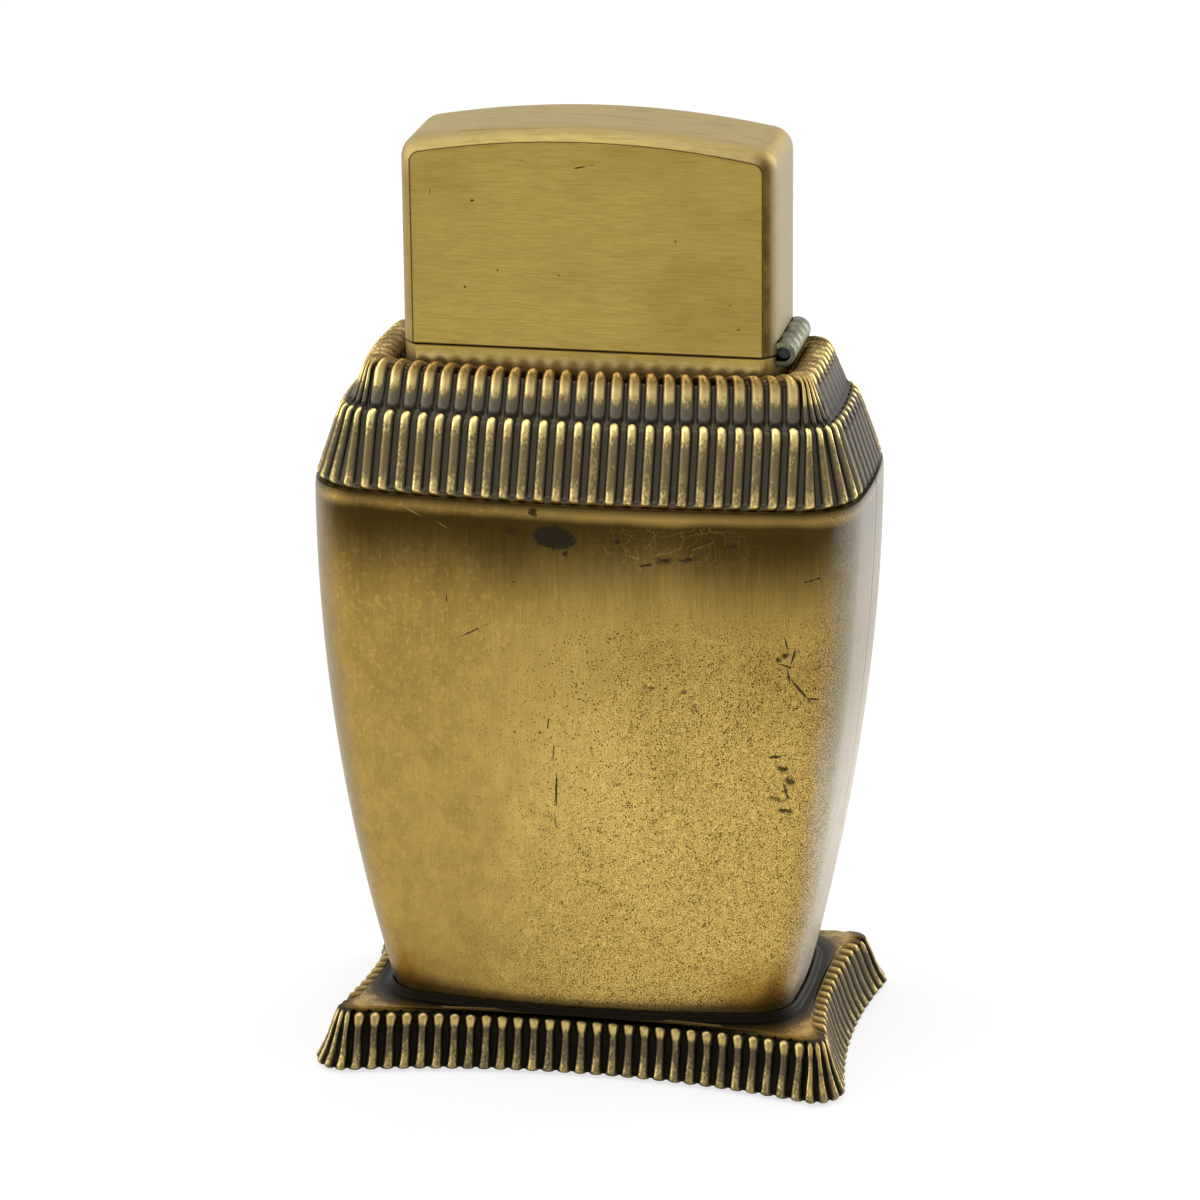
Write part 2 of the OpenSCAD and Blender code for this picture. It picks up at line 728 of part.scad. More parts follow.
// Knuckles numbered from the front, with the arm that joins each to its leaf
module knuckle_run(picks, side) {
    for (k = picks) {
        y0 = k * knuckle_l - barrel_l / 2 + (k > 0 ? knuckle_gap / 2 : 0);
        y1 = (k + 1) * knuckle_l - barrel_l / 2 - (k < knuckles - 1 ? knuckle_gap / 2 : 0);
        difference() {
            union() {
                translate([hinge_x, 0, hinge_z]) y_rod(knuckle_r, y0, y1);
                translate([inner_x - leaf_t, y0, hinge_z + (side > 0 ? knuckle_r - leaf_t : -knuckle_r)])
                    cube([hinge_x - inner_x + leaf_t, y1 - y0, leaf_t]);
            }
            translate([hinge_x, 0, hinge_z])
                y_rod(hinge_pin_r + play, -barrel_l, barrel_l);
        }
    }
}

// Leaf plate inside the wall, above or below the hinge
module leaf_plate(side) {
    half = case_d / 2 + face_cut - case_edge_r - play;
    z0 = side > 0 ? hinge_z + knuckle_r - leaf_t : hinge_z - knuckle_r - leaf_h + leaf_t;
    translate([inner_x - leaf_t, -half, z0]) cube([leaf_t, 2 * half, leaf_h]);
}

module hinge_lower_leaf() {
    color("lightslategray") union() {
        knuckle_run([0, 2, 4], -1);
        leaf_plate(-1);
    }
}

module hinge_upper_leaf() {
    color("lightslategray") union() {
        knuckle_run([1, 3], 1);
        leaf_plate(1);
    }
}

module hinge_pin() {
    color("gray")
        translate([hinge_x, 0, hinge_z])
            y_rod(hinge_pin_r, hinge_pin_in - barrel_l / 2, barrel_l / 2 - hinge_pin_in);
}

module lid() {
    color("goldenrod") difference() {
        lid_solid(0, part_z);
        lid_solid(case_wall, part_z - past);
        hinge_notch(hinge_z - past, hinge_z + knuckle_r + parting_gap);
    }
}

module insert_tank() {
    deck_t = 0.6;
    color("silver") {
        difference() {
            translate([0, 0, tank_z]) round_block([tank_w / 2, tank_d / 2], tank_r, tank_top_z - tank_z);
            translate([0, 0, tank_z - past])
                round_block([tank_w / 2 - tank_wall, tank_d / 2 - tank_wall], tank_r - tank_wall,
                    tank_top_z - tank_z - deck_t + past);
            translate([wick_x, 0, tank_z]) cylinder(r = wick_r + seat, h = tank_top_z);
            translate([wheel_x, 0, tank_z]) cylinder(r = flint_tube_r + play, h = tank_top_z);
        }
        for (side = [-1, 1])
            cam_lug(side);
    }
}

// One of the two lugs that carry the cam's rivet
module cam_lug(side) {
    y = side > 0 ? lug_in : -lug_in - lug_t;
    difference() {
        union() {
            translate([cam_x - lug_r, y, tank_top_z - lug_t]) cube([2 * lug_r, lug_t, cam_up + lug_t]);
            translate([cam_x, 0, cam_z]) y_rod(lug_r, y, y + lug_t);
        }
        translate([cam_x, 0, cam_z]) y_rod(cam_rivet_r + play, y - past, y + lug_t + past);
    }
}

module chimney() {
    hole_rows = 3;
    pitch = chimney_w / 4;
    row_pitch = chimney_h / (hole_rows + 1);
    wheel_bare = 1.1;
    ear_r = wheel_r - wheel_bare;
    left_x = chimney_x - chimney_w / 2;
    color("silver") difference() {
        union() {
            translate([chimney_x, 0, tank_top_z])
                round_block([chimney_w / 2, chimney_d / 2], tank_r, chimney_h);
            for (side = [-1, 1]) {
                y = side > 0 ? ear_in : -ear_in - tank_wall;
                translate([wheel_x - ear_r, y, tank_top_z])
                    cube([left_x - wheel_x + ear_r + tank_r, tank_wall, wheel_up]);
                translate([wheel_x, 0, wheel_z]) y_rod(ear_r, y, y + tank_wall);
                translate([wheel_x, y, wheel_z])
                    cube([left_x - wheel_x + tank_r, tank_wall, ear_r]);
            }
        }
        translate([chimney_x, 0, tank_top_z - past])
            round_block([chimney_w / 2 - tank_wall, chimney_d / 2 - tank_wall], tank_r - tank_wall,
                chimney_h + 2 * past);
        for (row = [1:hole_rows])
            for (k = [0:1 + row % 2])
                translate([chimney_x + (k - (1 + row % 2) / 2) * pitch, 0, tank_top_z + row * row_pitch])
                    y_rod(air_hole_r, -chimney_d, chimney_d);
        translate([left_x - past, -ear_in, tank_top_z + chimney_h / 4])
            cube([tank_wall + 2 * past, 2 * ear_in, chimney_h / 2]);
        translate([wheel_x, 0, wheel_z]) y_rod(wheel_rivet_r + play, -chimney_d, chimney_d);
    }
}

module wick() {
    color("ivory")
        translate([wick_x, 0, tank_top_z - wick_in]) cylinder(r = wick_r, h = wick_in + wick_up);
}

// Upright block inside the tank, bored for what passes through it
module tank_filler(z0, z1, wick_hole, tube_hole) {
    difference() {
        translate([0, 0, z0])
            round_block([tank_w / 2 - tank_wall - seat, tank_d / 2 - tank_wall - seat],
                tank_r - tank_wall, z1 - z0);
        translate([wick_x, 0, z0 - past]) cylinder(r = wick_hole, h = z1 - z0 + 2 * past);
        translate([wheel_x, 0, z0 - past]) cylinder(r = tube_hole, h = z1 - z0 + 2 * past);
    }
}

module packing() {
    air_gap = 2;
    color("white")
        tank_filler(tank_z + pad_t + seat, tank_top_z - air_gap, wick_r + play, flint_tube_r + seat);
}

module insert_felt() {
    color("lightgray")
        tank_filler(tank_z + seat, tank_z + pad_t, wick_r, flint_head_r + seat);
}

module flint_wheel() {
    tooth = 0.3;
    teeth = [
        for (i = [0:2 * wheel_teeth - 1])
            let (g = i * 180 / wheel_teeth, r = i % 2 == 0 ? wheel_r : wheel_r - tooth)
            [r * cos(g), r * sin(g)]
    ];
    color("dimgray")
        translate([wheel_x, wheel_w / 2, wheel_z])
            rotate([90, 0, 0])
                difference() {
                    linear_extrude(wheel_w) polygon(teeth);
                    translate([0, 0, -past]) cylinder(r = wheel_rivet_r + play, h = wheel_w + 2 * past);
                }
}

// Rivet along Y with a head outside each ear
module cross_rivet(r, reach) {
    y_rod(r, -reach, reach);
    y_rod(r + rivet_head, reach, reach + rivet_head);
    y_rod(r + rivet_head, -reach - rivet_head, -reach);
}

module wheel_rivet() {
    color("gainsboro")
        translate([wheel_x, 0, wheel_z]) cross_rivet(wheel_rivet_r, ear_in + tank_wall + play);
}

module cam_rivet() {
    color("gainsboro")
        translate([cam_x, 0, cam_z]) cross_rivet(cam_rivet_r, lug_in + lug_t + play);
}

module flint() {
    color("dimgray")
        translate([wheel_x, 0, flint_top_z - flint_l]) cylinder(r = flint_r, h = flint_l);
}

module flint_spring() {
    coil = 0.3;
    bottom = screw_top_z + seat;
    color("gainsboro")
        translate([wheel_x, 0, bottom])
            difference() {
                cylinder(r = flint_r, h = flint_top_z - flint_l - seat - bottom);
                translate([0, 0, -past]) cylinder(r = flint_r - coil, h = flint_top_z);
            }
}

module flint_tube() {
    color("peru")
        translate([wheel_x, 0, flint_tube_z])
            difference() {
                cylinder(r = flint_tube_r, h = flint_tube_top_z - flint_tube_z);
                translate([0, 0, -past]) cylinder(r = flint_r + play, h = flint_tube_top_z);
            }
}

module flint_screw() {
    color("gold")
        translate([wheel_x, 0, tank_z + seat])
            difference() {
                union() {
                    cylinder(r = flint_head_r, h = flint_head_h - seat / 2);
                    cylinder(r = flint_r, h = screw_top_z - tank_z - seat);
                }
                driver_slot(flint_head_r, flint_head_h / 2);
            }
}

module cam() {
    // Outline from the pivot: flat base, back edge and a nose to the hinge side
    back = 2.2;
    base = 1.9;
    heel = 1.2;
    shin = 2.1;
    instep = 0.6;
    nose = [4.1, 1.6];
    brow = 1.1;
    chamfer = 0.2;
    saddle = 1.7;
    poll = 1.4;
    nape = 0.6;
    boot = [
        [-back, -base], [heel, -base], [shin, -instep], nose, nose + [-chamfer, brow - chamfer],
        [nose[0] - brow - chamfer, nose[1] + brow], [heel, saddle], [-poll, saddle],
        [-back, nape]
    ];
    color("silver")
        translate([cam_x, cam_w / 2, cam_z])
            rotate([90, 0, 0])
                difference() {
                    linear_extrude(cam_w) polygon(boot);
                    translate([0, 0, -past]) cylinder(r = cam_rivet_r + play, h = cam_w + 2 * past);
                }
}

module cam_spring() {
    leaf = 0.25;
    clamped = 1.2;
    x0 = chimney_x + chimney_w / 2 + seat;
    x1 = cam_x + lug_r + slip;
    w = cam_w - 2 * seat;
    profile = [
        [x0, 0], [x0 + clamped, 0], [x1, leaf / 2], [x1, 1.5 * leaf], [x0 + clamped, leaf], [x0, leaf]
    ];
    color("lightsteelblue")
        translate([0, w / 2, tank_top_z])
            rotate([90, 0, 0])
                linear_extrude(w) polygon(profile);
}

foot();
foot_felt();
body_front_shell();
body_back_shell();
collar();
collar_plate();
plate_screws();
lighter_socket();
socket_bush();
tie_screw();
tie_washer();
lower_case();
hinge_lower_leaf();
hinge_pin();
hinge_upper_leaf();
lid();
insert_tank();
chimney();
wick();
packing();
insert_felt();
flint_wheel();
wheel_rivet();
flint();
flint_spring();
flint_tube();
flint_screw();
cam();
cam_rivet();
cam_spring();
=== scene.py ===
"""Looks for the table lighter: finishes, fine meshes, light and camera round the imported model.

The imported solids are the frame. Castings, shells, lid and hinge get finer meshes that stand
for their nodes, and every other solid keeps its shape and gets a finish.
"""

from __future__ import annotations

import logging
import math
from dataclasses import dataclass, field
from enum import Enum
from functools import partial
from typing import Callable

import bpy
import numpy as np
from mathutils import Matrix, Vector

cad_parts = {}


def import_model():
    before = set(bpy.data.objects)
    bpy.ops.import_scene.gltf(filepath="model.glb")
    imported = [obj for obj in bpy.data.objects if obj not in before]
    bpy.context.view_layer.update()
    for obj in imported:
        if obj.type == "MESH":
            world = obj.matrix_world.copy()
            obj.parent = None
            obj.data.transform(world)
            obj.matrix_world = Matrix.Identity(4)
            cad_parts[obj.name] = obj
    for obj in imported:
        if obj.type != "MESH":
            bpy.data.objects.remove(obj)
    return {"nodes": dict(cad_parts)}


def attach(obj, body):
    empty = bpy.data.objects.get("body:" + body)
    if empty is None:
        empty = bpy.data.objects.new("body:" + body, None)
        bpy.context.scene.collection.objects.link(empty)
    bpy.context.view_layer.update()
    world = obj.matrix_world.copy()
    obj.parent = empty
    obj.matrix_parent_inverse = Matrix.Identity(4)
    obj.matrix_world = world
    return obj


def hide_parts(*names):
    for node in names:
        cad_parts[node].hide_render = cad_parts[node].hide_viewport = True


log = logging.getLogger("table_lighter")

Array = np.ndarray
Material = bpy.types.Material
Socket = bpy.types.NodeSocket
Pair = tuple[float, float]
Triple = tuple[float, float, float]
Mesh = tuple[Array, list, dict[str, Array]]

MM = 0.001
TINY = 1e-6
WHITE = (1.0, 1.0, 1.0, 1.0)


class Carrier(Enum):
    """The frame's bodies that carry the finer pieces."""

    STAND = "stand"
    LIGHTER = "lighter"
    LID = "lid_body"


class Slot(Enum):
    """The record's material slots, listed beside the finer pieces but not given to them."""

    BRUSHED_BRASS = "brushed_brass"
    CASTING = "antique_casting"
    NICKEL = "nickel_sheet"
    COTTON = "wick_cotton"
    BAIZE = "green_felt"


class Leaf(Enum):
    """The hinge's two leaves, each with the way that its plate points."""

    LOWER = -1
    UPPER = 1


def linear(colour: str) -> tuple[float, float, float, float]:
    """Turn an sRGB hex colour into linear red, green, blue and alpha.

    Args:
        colour: Six hex digits after a hash sign.

    Returns:
        The linear colour with alpha 1.
    """
    parts = [int(colour[i:i + 2], 16) / 255 for i in (1, 3, 5)]
    red, green, blue = [p / 12.92 if p <= 0.04045 else ((p + 0.055) / 1.055) ** 2.4 for p in parts]
    return red, green, blue, 1.0


def fill(tree: bpy.types.NodeTree, node: bpy.types.Node, inputs: dict) -> None:
    """Set or link inputs of a node, by name or number."""
    for name, value in inputs.items():
        if isinstance(value, Socket):
            tree.links.new(value, node.inputs[name])
        else:
            node.inputs[name].default_value = value


def add_node(tree: bpy.types.NodeTree, kind: str, inputs: dict | None = None, **settings) -> bpy.types.Node:
    """Add one node with its settings, values and links.

    Args:
        tree: The node tree that takes the node.
        kind: Blender's name of the node type, without the word in front that all share.
        inputs: Values or sockets by input name or number.
        **settings: Properties of the node.

    Returns:
        The new node.
    """
    made = tree.nodes.new("ShaderNode" + kind)
    for name, value in settings.items():
        setattr(made, name, value)
    fill(tree, made, inputs or {})
    return made


def clear_tree(holder: Material | bpy.types.World) -> bpy.types.NodeTree:
    """Switch a material or world to nodes and empty its tree."""
    holder.use_nodes = True
    holder.node_tree.nodes.clear()
    return holder.node_tree


def show(name: str, data: bpy.types.ID) -> bpy.types.Object:
    """Put new data into the scene as an object."""
    made = bpy.data.objects.new(name, data)
    bpy.context.scene.collection.objects.link(made)
    return made


@dataclass(frozen=True)
class Patch:
    """A stain, chip or scratch on a front face: its middle and half size in mm, turn and edge.

    The edge fades by soft and is eaten by fray, both as shares of the patch's size.
    """

    x: float
    z: float
    half_x: float
    half_z: float
    angle: float = 0.0
    soft: float = 0.25
    strength: float = 0.85
    fray: float = 0.7


class Surface:
    """A material in the making, with the piece's own coordinates in millimetres."""

    def __init__(self, name: str) -> None:
        """Start an empty material with one principled shader.

        Args:
            name: The material's name.
        """
        self.material = bpy.data.materials.new(name)
        self.tree = clear_tree(self.material)
        self.add = partial(add_node, self.tree)
        self.shader = self.add("BsdfPrincipled")
        self.add("OutputMaterial", {0: self.shader.outputs[0]})
        self.place = self.vector("SCALE", {0: self.add("TexCoord").outputs["Object"], 3: 1 / MM})

    def vector(self, operation: str, inputs: dict, output: int | str = 0) -> Socket:
        """Work on a vector with one operation."""
        return self.add("VectorMath", inputs, operation=operation).outputs[output]

    def cloud(self, grain_mm: Triple, detail: float, shift: float) -> Socket:
        """Make plain noise with a grain size for each axis."""
        at = self.add("Mapping", {"Vector": self.place, "Location": (shift, shift, shift),
                                  "Scale": tuple(1 / g for g in grain_mm)})
        return self.add("TexNoise", {"Vector": at.outputs[0], "Scale": 1.0, "Detail": detail}).outputs[0]

    def noise(self, grain_mm: Triple, low: float = 0.35, high: float = 0.65,
              detail: float = 3.0, shift: float = 0.0) -> Socket:
        """Make cloudy or streaky noise between 0 and 1.

        Args:
            grain_mm: Size of one grain along X, Y and Z in millimetres.
            low: Noise value that becomes 0.
            high: Noise value that becomes 1.
            detail: Octaves of finer grain.
            shift: Moves the pattern, so that two patterns differ.

        Returns:
            The mask's socket.
        """
        return self.remap(self.cloud(grain_mm, detail, shift), low, high)

    def remap(self, value: Socket, low: float, high: float,
              to_low: float = 0.0, to_high: float = 1.0) -> Socket:
        """Stretch a value from one span to another and clamp it."""
        spans = {0: value, 1: low, 2: high, 3: to_low, 4: to_high}
        return self.add("MapRange", spans, interpolation_type="SMOOTHSTEP").outputs[0]

    def maths(self, operation: str, *values: Socket | float) -> Socket:
        """Combine values one after the other with one operation."""
        total, *others = values
        for value in others or [0.0]:
            total = self.add("Math", {0: total, 1: value}, operation=operation).outputs[0]
        return total

    def times(self, *values: Socket | float) -> Socket:
        """Multiply values, of which one alone stays as it is."""
        return self.maths("MULTIPLY", *values) if len(values) > 1 else values[0]

    def sway(self, value: Socket | float, pattern: Socket, share: float) -> Socket:
        """Add a share of a pattern to a value."""
        return self.maths("ADD", value, self.times(pattern, share))

    def layers(self, tone: Socket | str, *coats: tuple) -> Socket:
        """Lay coats of colour over a tone.

        Args:
            tone: The colour below, a socket or an sRGB hex value.
            *coats: For each coat its colour, then the masks and shares that are multiplied.

        Returns:
            The colour's socket.
        """
        for colour, *shares in coats:
            pair = [linear(c) if isinstance(c, str) else c for c in (tone, colour)]
            inputs = {0: self.times(*shares), 6: pair[0], 7: pair[1]}
            tone = self.add("Mix", inputs, data_type="RGBA").outputs[2]
        return tone

    def attribute(self, name: str) -> Socket:
        """Read one value that the mesh stores at its points."""
        return self.add("Attribute", attribute_name=name).outputs["Fac"]

    def axes(self) -> list[Socket]:
        """Split the piece's coordinates into X, Y and Z in millimetres."""
        return list(self.add("SeparateXYZ", {0: self.place}).outputs)

    def specks(self, spacing_mm: float, reach: float, shift: float = 0.0) -> Socket:
        """Make small round specks at random points.

        Args:
            spacing_mm: Mean distance between the points in millimetres.
            reach: Radius of a speck as a share of the spacing.
            shift: Moves the pattern.

        Returns:
            A mask that is 1 inside a speck.
        """
        at = self.add("Mapping", {"Vector": self.place, "Location": (shift, shift, shift)})
        cell = self.add("TexVoronoi", {"Vector": at.outputs[0], "Scale": 1 / spacing_mm})
        return self.remap(cell.outputs["Distance"], reach, reach * 0.6)

    def hairs(self, grain_mm: Triple, width: float, shift: float = 0.0) -> Socket:
        """Make fine curling lines where a cloudy pattern crosses its middle value.

        Args:
            grain_mm: Size of one curl along X, Y and Z in millimetres.
            width: Width of a line as a share of the pattern's range.
            shift: Moves the pattern.

        Returns:
            A mask that is 1 on a line.
        """
        off = self.maths("ABSOLUTE", self.maths("SUBTRACT", self.cloud(grain_mm, 1.0, shift), 0.5))
        return self.remap(off, width, width * 0.3)

    def spot(self, patch: Patch, fray: Socket) -> Socket:
        """Make a mask that is 1 inside one patch, with noise that eats into its edge."""
        at = self.vector("SUBTRACT", {0: self.place, 1: (patch.x, 0.0, patch.z)})
        turned = self.add("Mapping", {"Vector": at, "Rotation": (0.0, math.radians(patch.angle), 0.0)})
        sized = self.vector("MULTIPLY", {0: turned.outputs[0], 1: (1 / patch.half_x, 0.0, 1 / patch.half_z)})
        reach = self.vector("LENGTH", {0: sized}, "Value")
        return self.remap(self.sway(reach, fray, patch.fray), 1.0 + patch.soft, 1.0 - patch.soft)

    def stains(self, tone: Socket, patches: tuple[Patch, ...], front: Socket, colour: str) -> Socket:
        """Lay every patch over a tone, kept on the front by a mask."""
        fray = self.noise((0.45, 0.45, 0.45), 0.3, 0.7, 4.0, 12.0)
        return self.layers(tone, *((colour, self.spot(p, fray), front, p.strength) for p in patches))

    def close(self, colour: Socket | str, roughness: Socket | float, metallic: float,
              relief: Socket, depth_mm: float, **constants: float) -> Material:
        """Connect colour, roughness and bump to the shader.

        Args:
            colour: Socket or sRGB hex value.
            roughness: Socket or value.
            metallic: 1 for bare metal and 0 for anything else.
            relief: Height pattern between 0 and 1.
            depth_mm: Height of that pattern in millimetres.
            **constants: Other shader values by name, with underscores for spaces.

        Returns:
            The finished material.
        """
        bump = self.add("Bump", {"Height": relief, "Strength": 1.0, "Distance": depth_mm * MM})
        values = {name.replace("_", " "): value for name, value in constants.items()}
        fill(self.tree, self.shader, {"Base Color": colour, "Roughness": roughness, "Metallic": metallic,
                                      "Normal": bump.outputs[0], **values})
        return self.material


@dataclass(frozen=True)
class CaseBrass:
    """Brass sheet, brushed along the case and lacquered: satin olive gold, browner along its edges with
    patina and painted shade, paler on the crown and the narrow sides with painted reflection.
    """

    name: str = "brushed_case_brass"
    bright: str = "#aa944d"
    mellow: str = "#9c8644"
    brown: str = "#4d3a18"
    line_mm: float = 0.10
    run_mm: float = 1.8
    parting_z: float = 75.35
    strip_z: Pair = (75.3, 73.9)
    sleeve_z: Pair = (68.5, 72.6)
    crown_z: Pair = (91.5, 95.5)
    patches: tuple[Patch, ...] = ()

    def make(self) -> Material:
        """Build the material."""
        s = Surface(self.name)
        x, y, z = s.axes()
        # Brush lines of a fine belt are under 0.05 mm wide, drawn wider so that they show
        lines = s.noise((self.run_mm, self.line_mm * 2, self.line_mm), 0.32, 0.68, 1.0)
        haze = s.noise((16.0, 16.0, 9.0), 0.3, 0.7, 2.0, 3.0)
        mottle = s.noise((3.0, 3.0, 0.9), 0.45, 0.8, 3.0, 21.0)
        cloud = s.noise((1.6, 1.6, 2.2), 0.3, 0.7, 3.0, 6.0)
        rubbed = s.noise((7.0, 0.6, 0.8), 0.5, 0.75, 3.0, 14.0)
        pits = (s.specks(5.3, 0.035, 11.0), s.noise((6.0, 6.0, 6.0), 0.5, 0.6, 2.0, 7.0))
        roll = s.attribute("roll")
        side = s.remap(s.maths("ABSOLUTE", x), 18.2, 19.0)
        tone = s.layers(
            self.bright, (self.mellow, haze), ("#7b6528", lines, 0.24), ("#8d7440", mottle, 0.2),
            # The roll beside the ground face has a brown halo, part patina and part painted shade, strongest
            # at the hinge end
            ("#4f3c1c", s.attribute("halo"), s.remap(x, 2.0, 16.5, 0.3), s.remap(cloud, 0.0, 1.0, 0.8)),
            # Painted reflection: the crown of the roll is painted paler
            ("#c9b67c", s.remap(z, *self.crown_z), roll, s.remap(x, 18.5, 16.0), 0.4),
            # Paler where the lid is worn and where sheen is painted, the top most
            ("#bcaa80", s.attribute("worn"), 0.45), ("#7f6a35", rubbed, roll, 0.4),
            # Painted reflection: the narrow sides are painted grey; brown pits over all
            ("#8a7f67", side, s.remap(cloud, 0.0, 1.0, 0.74, 0.88)), (self.brown, *pits))
        tone = s.stains(tone, self.patches, s.remap(y, -6.0, -6.3), "#3a2c12")
        # Only the strip that stands out of the collar is painted pale, painted light against the collar's
        # shade; the rest sits in the sleeve
        strip = (s.remap(s.sway(z, cloud, 0.4), *self.strip_z),
                 s.remap(s.sway(z, cloud, 0.8), *self.sleeve_z))
        # Soot and old polish fill the parting line
        parting = s.remap(s.maths("ABSOLUTE", s.maths("SUBTRACT", z, self.parting_z)), 0.2, 0.1)
        tone = s.layers(tone, (self.brown, s.attribute("crease"), 0.85), ("#d6c083", *strip, 0.62),
                        ("#1d150a", parting, 0.85))
        rough = s.sway(s.remap(lines, 0.0, 1.0, 0.34, 0.42), roll, 0.14)
        return s.close(tone, rough, 1.0, lines, 0.0015)


@dataclass(frozen=True)
class BodyBrass:
    """Pressed brass, brushed upright, with a brown band of painted shade under the rim and fine age specks.
    """

    name: str = "aged_brushed_brass"
    bright: str = "#dcbd6c"
    mellow: str = "#c2a559"
    brown: str = "#2e220a"
    scratch: str = "#9b8650"
    rim_mm: float = 61.5
    foot_mm: float = 6.3
    patches: tuple[Patch, ...] = ()
    scuffs: tuple[Patch, ...] = ()

    def make(self) -> Material:
        """Build the material."""
        s = Surface(self.name)
        x, y, z = s.axes()
        rim = self.rim_mm
        # Upright lines of a 180 grit belt, drawn about three times as wide as they are
        lines = s.noise((0.14, 0.14, 5.0), 0.3, 0.7, 1.0)
        cloud = s.noise((11.0, 11.0, 14.0), 0.36, 0.66, 4.0, 5.0)
        blot = s.noise((2.2, 2.2, 2.5), 0.3, 0.7, 5.0, 9.0)
        glint = s.noise((0.55, 0.55, 0.6), 0.5, 0.72, 3.0, 17.0)
        # Age specks are 0.1 to 0.15 mm, dense on the lower right and sparse on the left
        spread = s.sway(s.sway(x, z, -0.25), cloud, 3.0)
        clump = s.remap(s.noise((0.7, 0.7, 0.75), 0.3, 0.7, 3.0, 27.0), 0.0, 1.0, 0.65)
        zone = s.times(s.remap(spread, -19.0, 2.0), s.remap(z, 55.0, 44.0), clump)
        grit = s.times(s.noise((0.10, 0.10, 0.105), 0.48, 0.56, 0.0, 2.0), s.sway(0.1, zone, 0.8))
        pepper = (s.specks(0.36, 0.30, 4.0), s.noise((1.5, 1.5, 1.5), 0.40, 0.56, 3.0, 8.0),
                  s.remap(z, 54.0, 46.0, 0.1), s.remap(x, -14.0, 2.0, 0.25))
        # A dark band of painted shade lies below the rim, and a paler strip of painted reflection above it
        streak = s.noise((0.4, 0.4, 6.0), 0.3, 0.7, 2.0, 6.0)
        drift = s.noise((12.0, 12.0, 30.0), 0.3, 0.7, 2.0, 1.0)
        band = (s.remap(s.sway(s.sway(z, streak, 0.7), drift, 2.4), rim - 11.5, rim - 0.2),
                s.remap(s.sway(z, drift, -0.5), rim - 0.8, rim - 2.0))
        reach = s.sway(z, cloud, 3.0)
        ends = s.maths("MAXIMUM", s.times(s.remap(reach, 16.0, 9.0), s.remap(x, 11.0, 17.5)),
                       s.times(s.remap(reach, 16.0, 8.0), s.remap(x, -14.0, -19.0)))
        # Both narrow sides are painted grey, a painted reflection of the pale surround, with dark specks
        # where the grey begins
        share = s.times(s.maths("SUBTRACT", z, self.foot_mm), 1 / (rim - self.foot_mm))
        half_width = s.maths("ADD", 21.2, s.times(share, s.sway(13.5, share, -6.4)))
        edge = s.maths("SUBTRACT", s.maths("ABSOLUTE", x), half_width)
        edge = s.maths("ADD", edge, s.remap(x, 0.0, -10.0, 0.0, 0.7), s.remap(z, 38.0, 12.0, 0.0, -1.2))
        edge = s.sway(edge, blot, 0.5)
        grey = s.layers("#cfcac1", ("#8f887c", s.remap(z, 20.0, 46.0)), ("#857659", s.remap(x, 0.0, -10.0)))
        rusty = (s.noise((0.12, 0.12, 0.13), 0.48, 0.6, 0.0, 13.0), s.remap(edge, -4.8, -2.4),
                 s.remap(edge, 0.4, -1.2), s.remap(x, -8.0, 0.0))
        # A nest of fine bright scratches in the dark band
        nest = s.spot(Patch(10.2, 57.8, 8.0, 2.6, 4.0, 0.5, fray=0.2), cloud)
        hairs = (s.hairs((3.4, 3.4, 1.1), 0.010, 3.0), s.hairs((1.1, 1.1, 2.0), 0.010, 31.0))
        tone = s.layers(
            self.bright, (self.mellow, cloud, 0.35),
            # Painted shade: the body is darker towards the top
            ("#876c33", s.remap(s.sway(z, cloud, 2.5), 28.0, 56.0), 0.6),
            # The left is darker and blotchy, where it was held
            ("#8e7238", s.remap(s.sway(x, cloud, 7.0), 6.0, -12.0), 0.62),
            ("#7a6234", blot, s.remap(x, 6.0, -12.0), 0.36), ("#b99c50", glint, s.remap(x, 6.0, -10.0), 0.6),
            ("#7d6127", lines, 0.13), ("#543d14", grit), (self.brown, *pepper),
            # The band under the rim is painted shade
            ("#34280c", *band, 0.96), ("#8a6118", ends, 0.65),
            # The bottom edge is painted bright, a painted highlight where the body meets the foot
            ("#f4d284", s.remap(z, 7.6, 6.7), 0.6), (grey, s.remap(edge, -3.0, -0.2), 0.8),
            ("#4d4030", *rusty, 0.55), (self.scratch, s.maths("MAXIMUM", *hairs), nest, 0.3))
        front = s.remap(y, -4.0, -6.0)
        tone = s.stains(tone, self.scuffs, front, self.scratch)
        tone = s.stains(tone, self.patches, front, "#28221a")
        # Dark seam lines on the sides, and a painted shadow line along the rim
        tone = s.layers(tone, ("#2a2011", s.attribute("crease")))
        rough = s.remap(s.maths("ADD", lines, grit), 0.0, 1.6, 0.33, 0.46)
        return s.close(tone, rough, 1.0, s.maths("SUBTRACT", lines, grit), 0.002)


